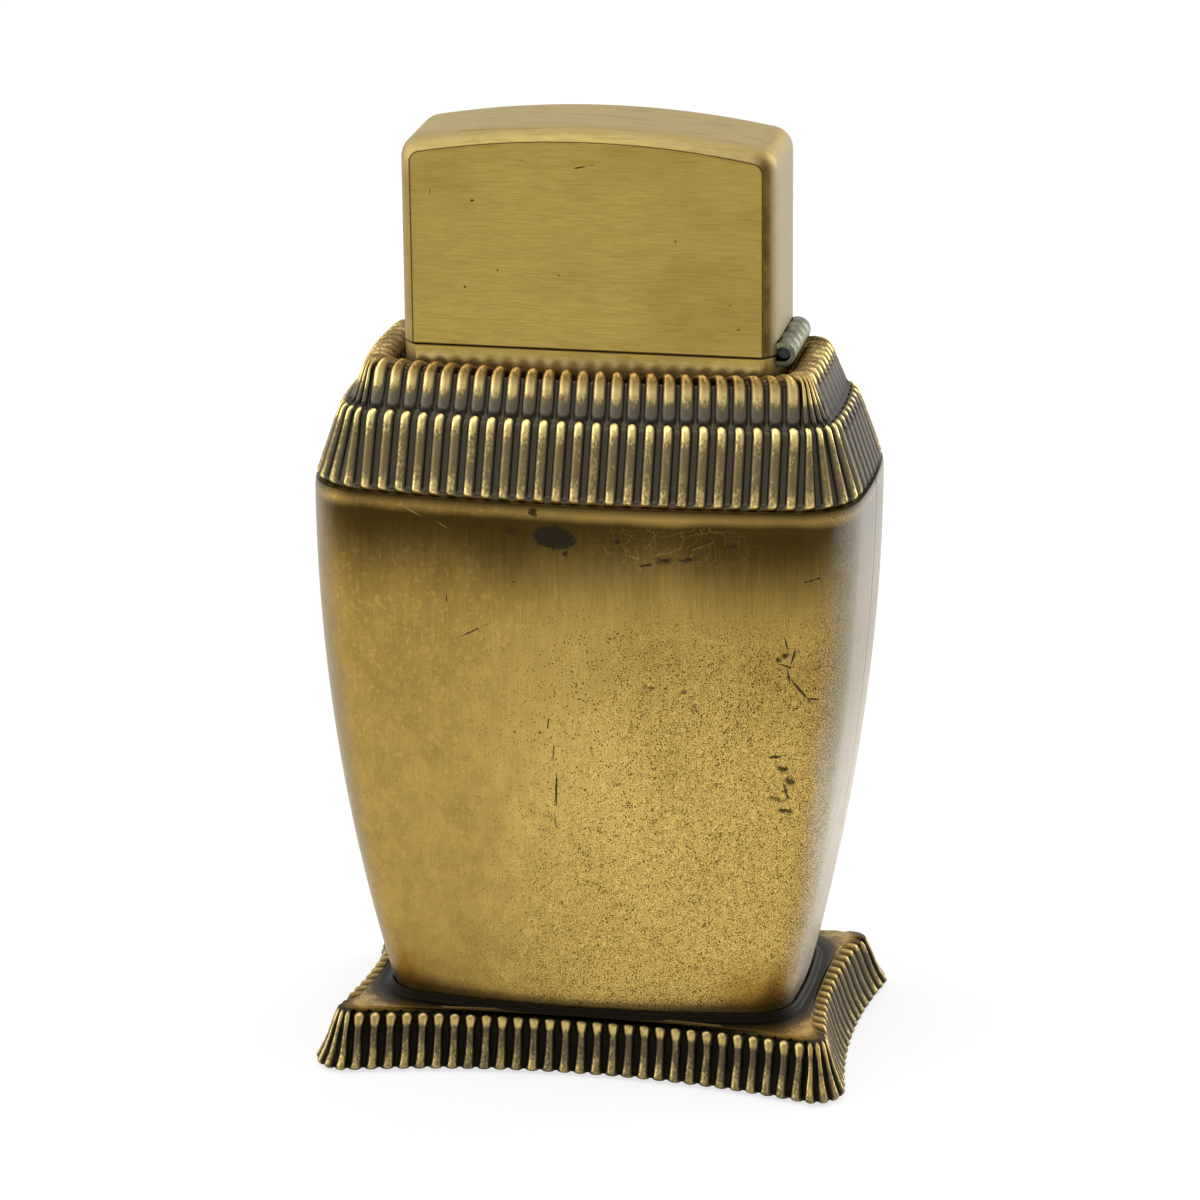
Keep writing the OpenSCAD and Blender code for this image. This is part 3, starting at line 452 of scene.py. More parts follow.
@dataclass(frozen=True)
class CastBrass:
    """Cast brass, darkened and rubbed back: bare on the crests and dark grey in the grooves."""

    name: str
    bare: str = "#f0d68c"
    dull: str = "#766747"
    flank: str = "#655e50"
    dark: str = "#4c463c"
    amber: str = "#765416"
    grime_and_shade: str = "#2a2723"
    line: float = 0.6

    def make(self) -> Material:
        """Build the material."""
        s = Surface(self.name)
        relief = s.attribute("relief")
        fleck = s.noise((0.22, 0.22, 0.4), 0.3, 0.7, 4.0)
        patina = s.noise((1.6, 1.6, 2.2), 0.35, 0.65, 3.0, 5.0)
        rubbed = s.sway(s.attribute("worn"), s.maths("SUBTRACT", fleck, 0.5), 0.42)
        rubbed = s.sway(rubbed, s.maths("SUBTRACT", patina, 0.5), 0.3)
        bare = s.times(s.remap(rubbed, 0.12, 0.95), s.remap(relief, 0.60, 0.92))
        tone = s.layers(
            # Below relief 0 the darkest tone: painted shade on the collar's narrow sides, grime in the rim's
            # grooves
            self.grime_and_shade, (self.dark, s.remap(relief, -0.5, 0.0)), (self.flank, s.remap(relief, 0.05, 0.5)),
            (self.dull, s.remap(relief, 0.55, 0.85)), (self.bare, bare),
            (self.amber, s.attribute("amber"), s.remap(fleck, 0.0, 1.0, 0.75)),
            # A thin dark line is painted at the foot of each bead
            ("#14110d", s.remap(relief, 0.02, 0.10), s.remap(relief, 0.34, 0.16), self.line))
        rough = s.remap(s.sway(bare, fleck, 0.3), 0.0, 1.3, 0.48, 0.3)
        return s.close(tone, rough, 1.0, fleck, 0.008)


@dataclass(frozen=True)
class Metal:
    """Plain metal with a faint grain: plated, satin or turned."""

    name: str
    colour: str
    shade: str
    roughness: float = 0.3
    grain_mm: Triple = (0.15, 0.15, 3.0)
    depth_mm: float = 0.003

    def make(self) -> Material:
        """Build the material."""
        s = Surface(self.name)
        grain = s.noise(self.grain_mm, 0.3, 0.7, 3.0)
        soil = s.noise((2.5, 2.5, 2.5), 0.45, 0.75, 4.0, 3.0)
        tone = s.layers(self.colour, (self.shade, grain, 0.35), (self.shade, soil, 0.45))
        rough = s.remap(s.maths("ADD", grain, soil), 0.0, 2.0, self.roughness - 0.05, self.roughness + 0.15)
        return s.close(tone, rough, 1.0, grain, self.depth_mm)


@dataclass(frozen=True)
class Cloth:
    """Felt or cotton: matt fibres with a soft sheen."""

    name: str
    colour: str
    shade: str
    fibre_mm: float = 0.12
    depth_mm: float = 0.05

    def make(self) -> Material:
        """Build the material."""
        s = Surface(self.name)
        fibre = s.noise((self.fibre_mm, self.fibre_mm * 3, self.fibre_mm), 0.3, 0.7, 5.0)
        cloud = s.noise((1.5, 1.5, 1.5), 0.3, 0.7, 2.0, 4.0)
        tone = s.layers(self.colour, (self.shade, s.maths("ADD", fibre, cloud), 0.5))
        return s.close(tone, 0.92, 0.0, fibre, self.depth_mm, Sheen_Weight=0.4, Sheen_Roughness=0.5)


@dataclass
class Ring:
    """Points round a bowed rectangle, cell by cell: sides and corner fans."""

    cells: tuple[int, int, int]
    per_cell: int

    def __post_init__(self) -> None:
        """Store each point's side, place in its cell and whether it is in a fan."""
        front, fan, side = self.cells
        self.runs = [(front, False), (fan, True), (side, False), (fan, True)] * 2
        steps = np.arange(self.per_cell) / self.per_cell
        self.place = np.concatenate([np.tile(steps, n) for n, _ in self.runs])
        self.in_fan = np.concatenate([np.full(n * self.per_cell, fan_run) for n, fan_run in self.runs])

    def spots(self, core: Pair, bow: Pair) -> tuple[Array, Array]:
        """Give each point's foot on the core and its outward direction.

        Args:
            core: Half width and half depth of the core.
            bow: Bow of the front and back, and of the sides.

        Returns:
            Two arrays of X and Y.
        """
        x, y = core
        corners = [np.array(c) for c in ((-x, -y), (x, -y), (x, y), (-x, y))]
        feet, ways = [], []
        for k in range(4):
            a, b = corners[k], corners[(k + 1) % 4]
            own, after = bow[k % 2], bow[(k + 1) % 2]
            run = np.linalg.norm(b - a)
            next_run = 2 * (y if k % 2 == 0 else x)
            along = (b - a) / run
            out = np.array([along[1], -along[0]])
            half = 2 * math.atan(2 * own / run)
            radius = run / 2 / math.sin(half)
            n = self.runs[2 * k][0] * self.per_cell
            turn = (2 * np.arange(n) / n - 1) * half
            feet.append((a + b) / 2 + np.outer(np.sin(turn) * radius, along)
                        + np.outer(radius * (np.cos(turn) - math.cos(half)), out))
            ways.append(np.outer(np.sin(turn), along) + np.outer(np.cos(turn), out))
            heading = math.atan2(along[1], along[0]) - math.pi / 2
            g0 = heading + half
            g1 = heading + math.pi / 2 - 2 * math.atan(2 * after / next_run)
            m = self.runs[2 * k + 1][0] * self.per_cell
            angle = g0 + (g1 - g0) * np.arange(m) / m
            feet.append(np.tile(b, (m, 1)))
            ways.append(np.stack([np.cos(angle), np.sin(angle)], 1))
        return np.concatenate(feet), np.concatenate(ways)


@dataclass
class Row:
    """One level of a casting: size, corner radius, height, bows and groove depth, in millimetres."""

    width: float
    depth: float
    radius: float
    height: float
    bow: Pair = (0.002, 0.002)
    groove: float = 0.0
    mark: float = 0.0

    def values(self) -> list[float]:
        """List the numbers that change from row to row."""
        return [self.width, self.depth, self.radius, self.height, *self.bow, self.groove, self.mark]


def soften(path: Array, passes: int) -> Array:
    """Round the corners of a closed path by averaging neighbours."""
    for _ in range(passes):
        path = 0.5 * path + 0.25 * (np.roll(path, 1, 0) + np.roll(path, -1, 0))
    return path


def band(first: Array, second: Array) -> list[list[int]]:
    """List the quads between two lines, or two stacks of lines, of point numbers."""
    corners = (first[..., :-1], first[..., 1:], second[..., 1:], second[..., :-1])
    return np.stack(corners, -1).reshape(-1, 4).tolist()


def tube(levels: int, sides: int, base: int = 0, capped: bool = True) -> list[list[int]]:
    """List the faces of closed rings that follow one another.

    Args:
        levels: How many rings there are.
        sides: Points of one ring.
        base: Number of the first point.
        capped: Whether one face closes each end.

    Returns:
        Lists of point numbers.
    """
    rings = base + np.arange(levels * sides).reshape(levels, sides)
    closed = np.column_stack([rings, rings[:, 0]])
    caps = [rings[0, ::-1].tolist(), rings[-1].tolist()] if capped else []
    return band(closed[:-1], closed[1:]) + caps


def skins(outer: Array, inner: Array) -> tuple[Array, Array, Array, list[list[int]]]:
    """Join two grids of points into a sheet that is still open at its first and last rows.

    Args:
        outer: The outer skin's points, row by row.
        inner: The inner skin's points.

    Returns:
        All points, the point numbers of each skin, and the faces.
    """
    a = np.arange(outer.size // 3).reshape(outer.shape[:2])
    b = a + a.size
    faces = band(a[:-1], a[1:]) + band(b[1:], b[:-1]) + band(a[:, 0], b[:, 0]) + band(b[:, -1], a[:, -1])
    return np.concatenate([outer.reshape(-1, 3), inner.reshape(-1, 3)]), a, b, faces


def new_piece(name: str, shape: Mesh, body: Carrier, material: Material,
              sharp_deg: float) -> bpy.types.Object:
    """Make a mesh object in the frame and let it ride on a body.

    Args:
        name: The piece's name.
        shape: Points in millimetres, lists of point numbers, and values to store at the points by name.
        body: The body that carries it.
        material: Its finish.
        sharp_deg: Edges that turn more than this stay sharp.

    Returns:
        The object.
    """
    points, faces, values = shape
    mesh = bpy.data.meshes.new(name)
    mesh.from_pydata((points * MM).tolist(), [], [tuple(int(i) for i in f) for f in faces])
    mesh.validate()
    for key, data in values.items():
        stored = mesh.attributes.new(key, "FLOAT", "POINT")
        stored.data.foreach_set("value", np.asarray(data, dtype=np.float32).ravel())
    mesh.shade_smooth()
    mesh.set_sharp_from_angle(angle=math.radians(sharp_deg))
    mesh.materials.append(material)
    piece = show(name, mesh)
    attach(piece, body.value)
    log.info("%s: %d points", name, len(mesh.vertices))
    return piece


def ramp(values: Array, start: float, end: float) -> Array:
    """Rise from 0 at the start to 1 at the end."""
    return np.clip((values - start) / (end - start), 0, 1)


@dataclass
class Places:
    """Where a casting's points lie, with one array of rows by columns for each value.

    across counts from the middle of a rib, 0 to 1 at the groove. level is the row's mark, which
    counts along the section. fan is set in the corner fans. x and y are distances from the middle in mm.
    """

    across: Array
    level: Array
    fan: Array
    x: Array
    y: Array


@dataclass
class Casting:
    """A ribbed brass casting swept through closed rows."""

    cells: tuple[int, int, int]
    per_cell: int = 14
    step_mm: float = 0.22
    fan_share: float = 0.14
    full_depth: float = 0.3
    round_passes: int = 2

    def rows(self) -> list[Row]:
        """List the rows once round the section."""
        raise NotImplementedError

    def height(self, at: Places) -> tuple[Array, Array, Array]:
        """Give the ribs' height, the wear with painted sheen and the amber tone at each point, from 0 to 1.
        """
        raise NotImplementedError

    def tone(self, relief: Array, at: Places) -> Array:
        """Lower the relief's tone where the casting stayed dark and where shade is painted."""
        return relief

    def trim(self, points: Array, rib: Array, at: Places) -> Array:
        """Cut the grooves deeper where the casting needs it."""
        return points

    def mesh(self) -> Mesh:
        """Sweep the rows into a closed mesh of points, faces and values stored at the points."""
        rows = np.array([r.values() for r in self.rows()])
        path = []
        for a, b in zip(rows, np.roll(rows, -1, 0)):
            far = math.hypot((b[1] - a[1]) / 2, b[3] - a[3])
            count = max(1, round(far / self.step_mm))
            path += [a + (b - a) * k / count for k in range(count)]
        path = soften(np.array(path), self.round_passes)
        ring = Ring(self.cells, self.per_cell)
        grid = np.zeros((len(path), len(ring.place), 3))
        for k, (w, d, r, z, bow_d, bow_w, _, _) in enumerate(path):
            # A side that curves in keeps its width at the corners
            core = (w / 2 - max(bow_w, 0.0) - r, d / 2 - max(bow_d, 0.0) - r)
            feet, ways = ring.spots(core, (bow_d, bow_w))
            grid[k] = np.column_stack([feet + ways * r, np.full(len(feet), z)])
        around = np.roll(grid, -1, 1) - np.roll(grid, 1, 1)
        normal = np.cross(around, np.roll(grid, -1, 0) - np.roll(grid, 1, 0))
        normal /= np.linalg.norm(normal, axis=2, keepdims=True) + 1e-12
        blank = np.zeros(grid.shape[:2])
        radius, depth, level = (blank + path[:, [column]] for column in (2, 6, 7))
        across = blank + 1 - np.abs(2 * ((ring.place + 0.5) % 1) - 1)
        at = Places(across, level, blank + ring.in_fan > 0, *np.abs(grid[:, :, :2]).transpose(2, 0, 1))
        rib, worn, amber = self.height(at)
        depth = np.where(at.fan, np.minimum(depth, radius * self.fan_share), depth)
        points = self.trim(grid - normal * (depth * (1 - rib))[:, :, None], rib, at)
        relief = self.tone(1 - np.clip(depth / self.full_depth, 0, 1) * (1 - rib), at)
        numbers = np.pad(np.arange(blank.size).reshape(blank.shape), ((0, 1), (0, 1)), mode="wrap")
        faces = band(numbers[:-1], numbers[1:])
        return points.reshape(-1, 3), faces, {"relief": relief, "worn": worn, "amber": amber}


def capsule(across: Array, past_end: Array, share: float, power: float = 0.55) -> Array:
    """Height of a round rib with round ends.

    Args:
        across: Distance from the rib's middle, 0 to 1 at the groove.
        past_end: Distance past the rib's end in rib half widths, 0 along its run.
        share: Half width of the rib as a share of the cell.
        power: Lower values make a blunter rib.

    Returns:
        Height from 0 in the groove to 1 on the crest.
    """
    reach = (across / share) ** 2 + np.maximum(past_end, 0) ** 2
    return np.clip(1 - reach, 0, 1) ** power


@dataclass
class Collar(Casting):
    """Two tiers of round beads that close the body and guide the lighter."""

    cells: tuple[int, int, int] = (25, 4, 8)
    groove: float = 0.55
    bow: Pair = (1.4, 0.3)
    bottom_z: float = 61.7
    step_z: float = 69.3
    top_z: float = 74.1
    finger_h: float = 1.35

    def rows(self) -> list[Row]:
        """List the rows from the spigot's inside, out and up over both tiers, and down the opening."""
        b, g = self.bow, self.groove
        return [
            Row(52.6, 25.5, 4.7, 59.5, b),
            Row(54.6, 27.5, 5.7, 59.5, b),
            Row(54.6, 27.5, 5.7, self.bottom_z, b),
            Row(56.1, 28.1, 6.0, self.bottom_z, b, g * 0.3, 0.0),
            Row(56.3, 28.3, 6.1, self.bottom_z + 0.3, b, g, 0.03),
            Row(51.9, 22.8, 3.7, self.step_z - 0.95, b, g, 0.90),
            Row(51.4, 22.15, 3.5, self.step_z - 0.3, b, g, 1.0),
            Row(50.6, 21.4, 3.3, self.step_z + 0.02, b, g, 1.12),
            Row(49.7, 20.7, 2.8, self.step_z + 0.05, b, g, 1.25),
            Row(49.2, 20.35, 2.5, self.step_z + 0.3, b, g * 0.7, 2.0),
            Row(46.6, 17.95, 1.3, self.top_z - 1.2, b, g * 0.85, 2.7),
            Row(46.0, 17.3, 1.2, self.top_z - 0.5, b, g, 2.86),
            Row(45.2, 16.6, 1.1, self.top_z - 0.08, (1.3, 0.3), g, 3.0),
            Row(43.9, 15.8, 1.0, self.top_z, (0.9, 0.2), g, 3.1),
            Row(42.0, 14.9, 0.9, self.top_z - 0.02, (0.5, 0.15), g, 3.2),
            Row(40.5, 14.3, 0.8, self.top_z - 0.3, (0.2, 0.1), g, 3.32),
            Row(39.6, 13.9, 0.8, self.top_z - 0.95, (0.05, 0.05), g * 0.5, 3.45),
            Row(39.4, 13.75, 0.9, self.top_z - 2.2, (0.02, 0.02), 0.0, 3.6),
            Row(40.2, 13.75, 1.6, 68.3),
            Row(52.6, 25.5, 4.7, 62.9, b),
        ]

    def trim(self, points: Array, rib: Array, at: Places) -> Array:
        """Cut the grooves at the rim down to a flat edge, so that the beads end as fingers."""
        over = np.maximum(points[:, :, 2] - (self.top_z - self.finger_h), 0)
        points[:, :, 2] -= over * (1 - rib ** 0.45) * (at.level > 2.3)
        # On the long sides the fingers end in domes, and on the narrow ones they run on inwards
        dome = np.interp(at.level, [2.9, 3.0, 3.1, 3.2, 3.32, 3.45], [0.0, 0.06, 0.28, 0.62, 0.8, 0.2])
        points[:, :, 2] -= dome * rib * ramp(np.abs(points[:, :, 0]), 20.5, 17.5)
        return points

    def side(self, at: Places) -> Array:
        """Give 1 on the slopes of the narrow sides, where dark grey shade is painted."""
        kept = np.interp(at.level, [0.0, 0.1, 0.8, 1.0, 1.2, 1.3, 2.55, 2.8],
                         [0.4, 0.8, 0.8, 0.1, 0.1, 1.0, 0.9, 0.0])
        return kept * ramp(at.x, 21.5, 23.5) * ramp(at.y, 6.8, 5.3)

    def tone(self, relief: Array, at: Places) -> Array:
        """Paint shade on the narrow sides, and keep the upper beads' lower ends and the grooves at the rim
        dark.
        """
        side = self.side(at)
        kept = relief * (1 - 0.5 * side) * np.interp(at.level, [1.2, 1.3, 1.9, 2.4], [1.0, 0.1, 0.25, 1.0])
        return kept - 0.75 * side - 0.7 * np.clip(0.6 - relief, 0, 1) * (at.level > 2.8)

    def height(self, at: Places) -> tuple[Array, Array, Array]:
        """Give bead height, wear with painted sheen and amber tone, with each tier's beads ending in round
        heads.
        """
        level, side, on_side = at.level, self.side(at), ramp(at.x, 19.5, 21.0)
        lower = capsule(at.across, (level - 1.06) / 0.17, 0.68, 0.62)
        upper = capsule(at.across, (level - 3.26 - 0.16 * on_side) / 0.2, 0.84, 0.62)
        rib = np.where(level < 1.27, lower, upper)
        rib = np.where((level > 3.55) | (level < 0.001), 0.0, rib)
        rib = 1 - (1 - rib) * (1 - 0.75 * side)
        worn = np.interp(level, [0, 0.03, 0.12, 0.3, 0.7, 0.84, 0.95, 1.08, 1.2, 1.27,
                                 2.15, 2.3, 2.45, 2.6, 2.75, 2.9, 3.0, 3.15],
                         [0.2, 0.62, 0.45, 0.15, 0.1, 0.5, 1.0, 0.9, 0.3, 0.0,
                          0.05, 0.3, 0.8, 1.2, 1.3, 1.1, 0.5, 0.3])
        # The amber on the bead tips is a painted reflection of the darker surround, where the tips turn in
        amber = np.interp(level, [2.54, 2.76, 3.3, 3.45], [0.0, 0.92, 0.92, 0.0]) * (1 - 0.6 * on_side)
        return rib, worn * (1 - side), amber * np.clip(rib * 1.6 - 0.3, 0, 1)


@dataclass
class Foot(Casting):
    """Ribbed foot with waisted sides, a flat deck and a stepped lip round the body."""

    cells: tuple[int, int, int] = (29, 4, 16)
    per_cell: int = 11
    round_passes: int = 1
    step_mm: float = 0.16
    groove: float = 0.55
    width: float = 55.4
    depth: float = 35.8
    deck_z: float = 6.3
    lip_h: float = 0.33

    def rows(self) -> list[Row]:
        """List the rows from the bore, under the rim, up the flank, over the deck and lip."""
        waist, high = (-3.3, -1.4), (-2.1, -1.4)
        w, d, g, z = self.width, self.depth, self.groove, self.deck_z
        top_w, top_d = w - 4.2, d - 5.2

        def lip(extra: float, height: float) -> Row:
            """Make a row that follows the body's bottom edge."""
            return Row(42.4 + 2 * extra, 24.4 + 2 * extra, 4.4 + extra, height, (1.4, 0.3), 0.0, 2.6)

        return [
            Row(4.4, 4.4, 2.1, 3.2),
            Row(7.8, 7.8, 3.8, 3.2),
            Row(7.8, 7.8, 3.8, 1.0),
            Row(w - 4.8, d - 4.8, 0.8, 1.0, waist),
            Row(w - 4.8, d - 4.8, 0.8, 0.3, waist),
            Row(w - 0.7, d - 0.7, 2.8, 0.3, waist, g * 0.4, 0.0),
            Row(w, d, 3.2, 0.75, waist, g, 0.04),
            Row(w - 1.35, d - 1.7, 2.7, 2.0, (-3.1, -1.4), g, 0.28),
            Row(w - 2.45, d - 3.1, 2.2, 3.3, (-2.85, -1.4), g, 0.5),
            Row(w - 3.3, d - 4.15, 1.9, 4.6, (-2.5, -1.4), g, 0.75),
            Row(top_w, top_d, 1.6, z - 0.5, high, g, 0.95),
            Row(top_w - 0.4, top_d - 0.4, 1.45, z - 0.08, high, g, 1.02),
            Row(top_w - 1.8, top_d - 1.2, 1.1, z, high, g * 0.6, 1.2),
            Row(top_w - 3.6, top_d - 2.2, 0.9, z, (-1.8, -1.2), 0.0, 1.5),
            lip(1.6, z),
            lip(0.96, z),
            lip(0.92, z + self.lip_h),
            lip(0.56, z + self.lip_h),
            lip(0.52, z + 2 * self.lip_h),
            lip(0.22, z + 2 * self.lip_h),
            lip(0.2, z),
            Row(4.4, 4.4, 2.1, z),
        ]

    def corner(self, at: Places) -> Array:
        """Give 1 at the deck's corners, which are painted less shaded and rubbed to brass."""
        return ramp(at.x, 15, 23) * ramp(at.y, 6, 12)

    def tone(self, relief: Array, at: Places) -> Array:
        """Paint shade on the deck towards the body, and on the lip, which is nearly black."""
        level = at.level
        share = np.interp(level, [1.2, 1.6, 2.5, 2.6], [1.0, 0.65, 0.4, 0.1])
        share += 0.5 * self.corner(at) * (level > 1.4) * (level < 2.45)
        share += 0.2 * ramp(at.y, 11, 13) * (level > 1.1) * (level < 1.7)
        return relief * np.minimum(share, 1.0)

    def height(self, at: Places) -> tuple[Array, Array, Array]:
        """Give rib height, wear with painted sheen and amber tone: ribs flare at the head and at the bottom.
        """
        across, level = at.across, at.level
        # The ribs of the narrow sides are shallower
        side = ramp(at.x, 21.5, 23.5) * ramp(at.y, 14, 11)
        share = np.interp(level, [0.0, 0.15, 0.5, 0.70, 0.80, 0.90, 1.1],
                          [0.82, 0.70, 0.60, 0.56, 0.74, 0.88, 0.86])
        rib = capsule(across, (level - 0.87) / 0.14, share, 0.6) * (1 - side)
        rib += capsule(across, (level - 1.3) / 0.2, 0.72, 0.6) * side
        # A tiny pearl sits on the deck's edge between two heads
        pearl = np.clip(1 - ((1 - across) / 0.22) ** 2 - ((level - 1.08) / 0.05) ** 2, 0, 1) ** 0.5
        rib = np.where(at.fan, rib, np.maximum(rib, 0.8 * pearl * (1 - side)))
        rib = 1 - (1 - rib) * (1 - 0.35 * side * (level < 0.9))
        worn = np.interp(level, [0.0, 0.05, 0.3, 0.55, 0.72, 0.80, 0.90, 1.0, 1.12, 1.3, 1.6, 2.4],
                         [0.4, 0.55, 0.4, 0.15, 0.2, 0.85, 1.0, 0.9, 0.3, 0.1, 0.05, 0.0])
        worn = np.where(at.fan & (level < 1.3), np.maximum(worn, 0.6), worn)
        ledge = np.interp(level, [0.0, 0.05, 0.3, 0.85, 1.0, 1.35, 1.5],
                          [0.35, 0.4, 0.05, 0.05, 0.7, 0.65, 0.0])
        worn = worn * (1 - side) + ledge * side
        near = self.corner(at) * ramp(level, 2.5, 2.1)
        amber = np.interp(level, [1.1, 1.3, 1.7, 2.3, 2.5], [0.0, 0.5, 0.5, 0.3, 0.0]) * (0.2 + 0.8 * near)
        amber = np.maximum(amber, 0.25 * side * (level > 0.95) * (level < 1.45))
        return rib, np.where(level > 1.25, np.maximum(worn, 0.75 * near), worn), amber


@dataclass
class Body:
    """One of the two pressed shells that meet in a seam on each side: 1 is the front and -1 the back."""

    way: int = 1
    bottom: Triple = (42.4, 24.4, 4.4)
    top: Triple = (56.6, 29.5, 6.7)
    swell: Pair = (1.6, 1.6)
    bow: Pair = (1.4, 0.3)
    wall: float = 0.8
    lip: float = 0.12
    seam: Pair = (0.03, 0.11)
    seam_in: float = 0.07
    low_z: float = 6.4
    high_z: float = 61.5
    levels: int = 64
    ring: Ring = field(default_factory=lambda: Ring((36, 6, 12), 2))

    def section(self, t: float, inset: float) -> Array:
        """Give the front half of the section at share t of the height."""
        bulge = 4 * t * (1 - t)
        w, d, r = (a + (b - a) * t for a, b in zip(self.bottom, self.top))
        w, d = w + 2 * self.swell[0] * bulge, d + 2 * self.swell[1] * bulge
        feet, ways = self.ring.spots((w / 2 - self.bow[1] - r, d / 2 - self.bow[0] - r), self.bow)
        loop = feet + ways * (r - inset)
        front, fan, side = (c * self.ring.per_cell for c in self.ring.cells)
        start = 2 * front + 3 * fan + side + side // 2
        picked = [(start + i) % len(loop) for i in range(len(loop) // 2 + 1)]
        return loop[picked]

    def mesh(self) -> Mesh:
        """Give the shell as a closed sheet with a fine seam."""
        outer, inner = [], []
        for k in range(self.levels + 1):
            t = k / self.levels
            z = self.low_z + (self.high_z - self.low_z) * t
            lip = self.lip if k in (0, self.levels) else 0.0
            for store, inset in ((outer, lip), (inner, self.wall)):
                line = self.section(t, inset)
                ends = [line[end] - [0, gap] for end, gap in zip((0, 0, -1, -1), self.seam + self.seam[::-1])]
                line = np.array([*ends[:2], *line[1:-1], *ends[2:]])
                if store is outer:
                    line[[0, -1], 0] += [self.seam_in, -self.seam_in]
                store.append(np.column_stack([line, np.full(len(line), z)]))
        points, a, b, faces = skins(np.array(outer), np.array(inner))
        faces += band(b[0], a[0]) + band(a[-1], b[-1])
        crease = np.zeros((2, *a.shape))
        crease[0, :, [0, -1]] = 1.0
        # The top row is a painted shadow line where the collar sits on the rim
        crease[0, -1, :] = 0.9
        return points * [1, self.way, 1], [face[::self.way] for face in faces], {"crease": crease.ravel()}


@dataclass
class Lid:
    """Drawn brass lid with rolled edges, ground faces and a fine crease where they meet."""

    width: float = 38.1
    depth: float = 13.0
    bottom_z: float = 75.4
    top_z: float = 97.9
    crown: float = 95.0
    corner: float = 2.3
    roll: float = 3.2
    cut: float = 0.68
    groove: float = 0.08
    groove_y: float = 0.06
    round_half: float = 3.75
    wall: float = 0.7
    notch_half: float = 4.85
    notch_z: float = 76.8
    arc: int = 10
    across: int = 48
    tall: int = 14
    nudge: float = 1e-4

    def outline(self, inset: float, shrink: float, y: float) -> Array:
        """Give the section at depth y, from the left bottom over the crown to the right bottom.

        Args:
            inset: How far it lies inside the largest section.
            shrink: Wall to leave, 0 for the outer surface.
            y: Its place front to back.

        Returns:
            Points in X, Y and Z.
        """
        x = self.width / 2 - shrink - inset
        top = self.top_z - shrink - inset
        big = self.crown - inset - shrink
        r = max(self.corner - 0.95 * inset - shrink, 0.45)
        centre = top - big
        cx = x - r
        cz = centre + math.sqrt((big - r) ** 2 - cx ** 2)
        lean = math.atan2(cx, cz - centre)
        notched = abs(y) < self.notch_half + TINY
        right_z = self.notch_z if notched else self.bottom_z
        left = [(-x, z) for z in np.linspace(self.bottom_z, cz, self.tall + 1)[:-1]]
        turn = np.linspace(math.pi, math.pi / 2 + lean, self.arc + 1)
        rise = [(-cx + r * math.cos(a), cz + r * math.sin(a)) for a in turn[:-1]]
        over = [(big * math.sin(a), centre + big * math.cos(a))
                for a in np.linspace(-lean, lean, self.across + 1)]
        fall = [(-px, pz) for px, pz in rise[::-1]]
        right = [(x, z) for z in np.linspace(cz, right_z, self.tall + 1)[1:]]
        return np.array([(px, y, pz) for px, pz in left + rise + over + fall + right])

    def sections(self) -> list[tuple[float, float, float, float, float]]:
        """List depth, inset, crease, wear with painted sheen, and halo with painted shade of the front half's
        sections, front to middle.
        """
        face = self.depth / 2

        def inset(y: float) -> float:
            """Give the roll's inset at depth y."""
            s = min(self.roll, y + face + self.cut)
            return self.roll - math.sqrt(self.roll ** 2 - (self.roll - s) ** 2)

        edge = inset(-face)
        rows = [(-face, edge + e, 0.0, 0.0, 0.0) for e in (5.6, 3.0, 1.2, 0.3)]
        rows.append((-face, edge + 2 * self.groove, 0.2, 0.0, 0.1))
        rows += [(self.groove_y - face, edge + self.groove, 1.0, 0.0, 0.5), (-face, edge, 0.35, 0.0, 0.9)]
        near = np.linspace(self.groove_y - face, -self.notch_half, 8)
        for y in (*near, *np.linspace(-self.notch_half, -self.round_half, 6)[1:]):
            rows.append((y, inset(y), 0.0, min(1.0, (y + face) * 0.5), float(ramp(y + face, 1.36, 0.51))))
        rows += [(y, 0.0, 0.0, 0.9, 0.0) for y in (-2.5, -1.2)]
        return rows

    def mesh(self) -> Mesh:
        """Give the lid as one closed sheet, open below."""
        half, rows = self.depth / 2, []
        for row in self.sections():
            rows.append((*row, abs(row[0]) < self.notch_half - TINY))
            if abs(abs(row[0]) - self.notch_half) < TINY:
                rows.append((*row, True))
        rows += [(0.0, 0.0, 0.0, 0.9, 0.0, True)] + [(-row[0], *row[1:]) for row in rows[::-1]]
        outer, inner = [], []
        for y, inset, *_, is_open in rows:
            # The notch ends in a step, made by two sections that stand next to each other
            nudge = 0.0 if is_open else math.copysign(self.nudge, y)
            far = np.interp(abs(y), [0, self.notch_half, half], [0, self.notch_half, half - self.wall])
            outer.append(self.outline(inset, 0.0, y + nudge))
            inner.append(self.outline(inset, self.wall, math.copysign(far, y) + nudge))
        points, a, b, faces = skins(np.array(outer), np.array(inner))
        faces += [a[0, ::-1], a[-1], b[0], b[-1, ::-1],
                  [a[0, -1], a[0, 0], b[0, 0], b[0, -1]], [a[-1, 0], a[-1, -1], b[-1, -1], b[-1, 0]]]

        def spread(values: list | Array) -> Array:
            """Give every point of both skins the value of its row."""
            return np.tile(np.repeat(values, a.shape[1]), 2)

        crease, worn, halo = np.array([row[2:5] for row in rows]).T
        # The top and the narrow sides are paler: part wear, part painted sheen
        rubbed = np.maximum(ramp(points[:, 2], 92, 97), ramp(np.abs(points[:, 0]), 16.5, 18.7) * 0.5)
        rolled = spread([float(abs(row[0]) < half - TINY) for row in rows])
        return points, faces, {"crease": spread(crease), "worn": spread(worn) * rubbed,
                               "halo": spread(halo), "roll": rolled}


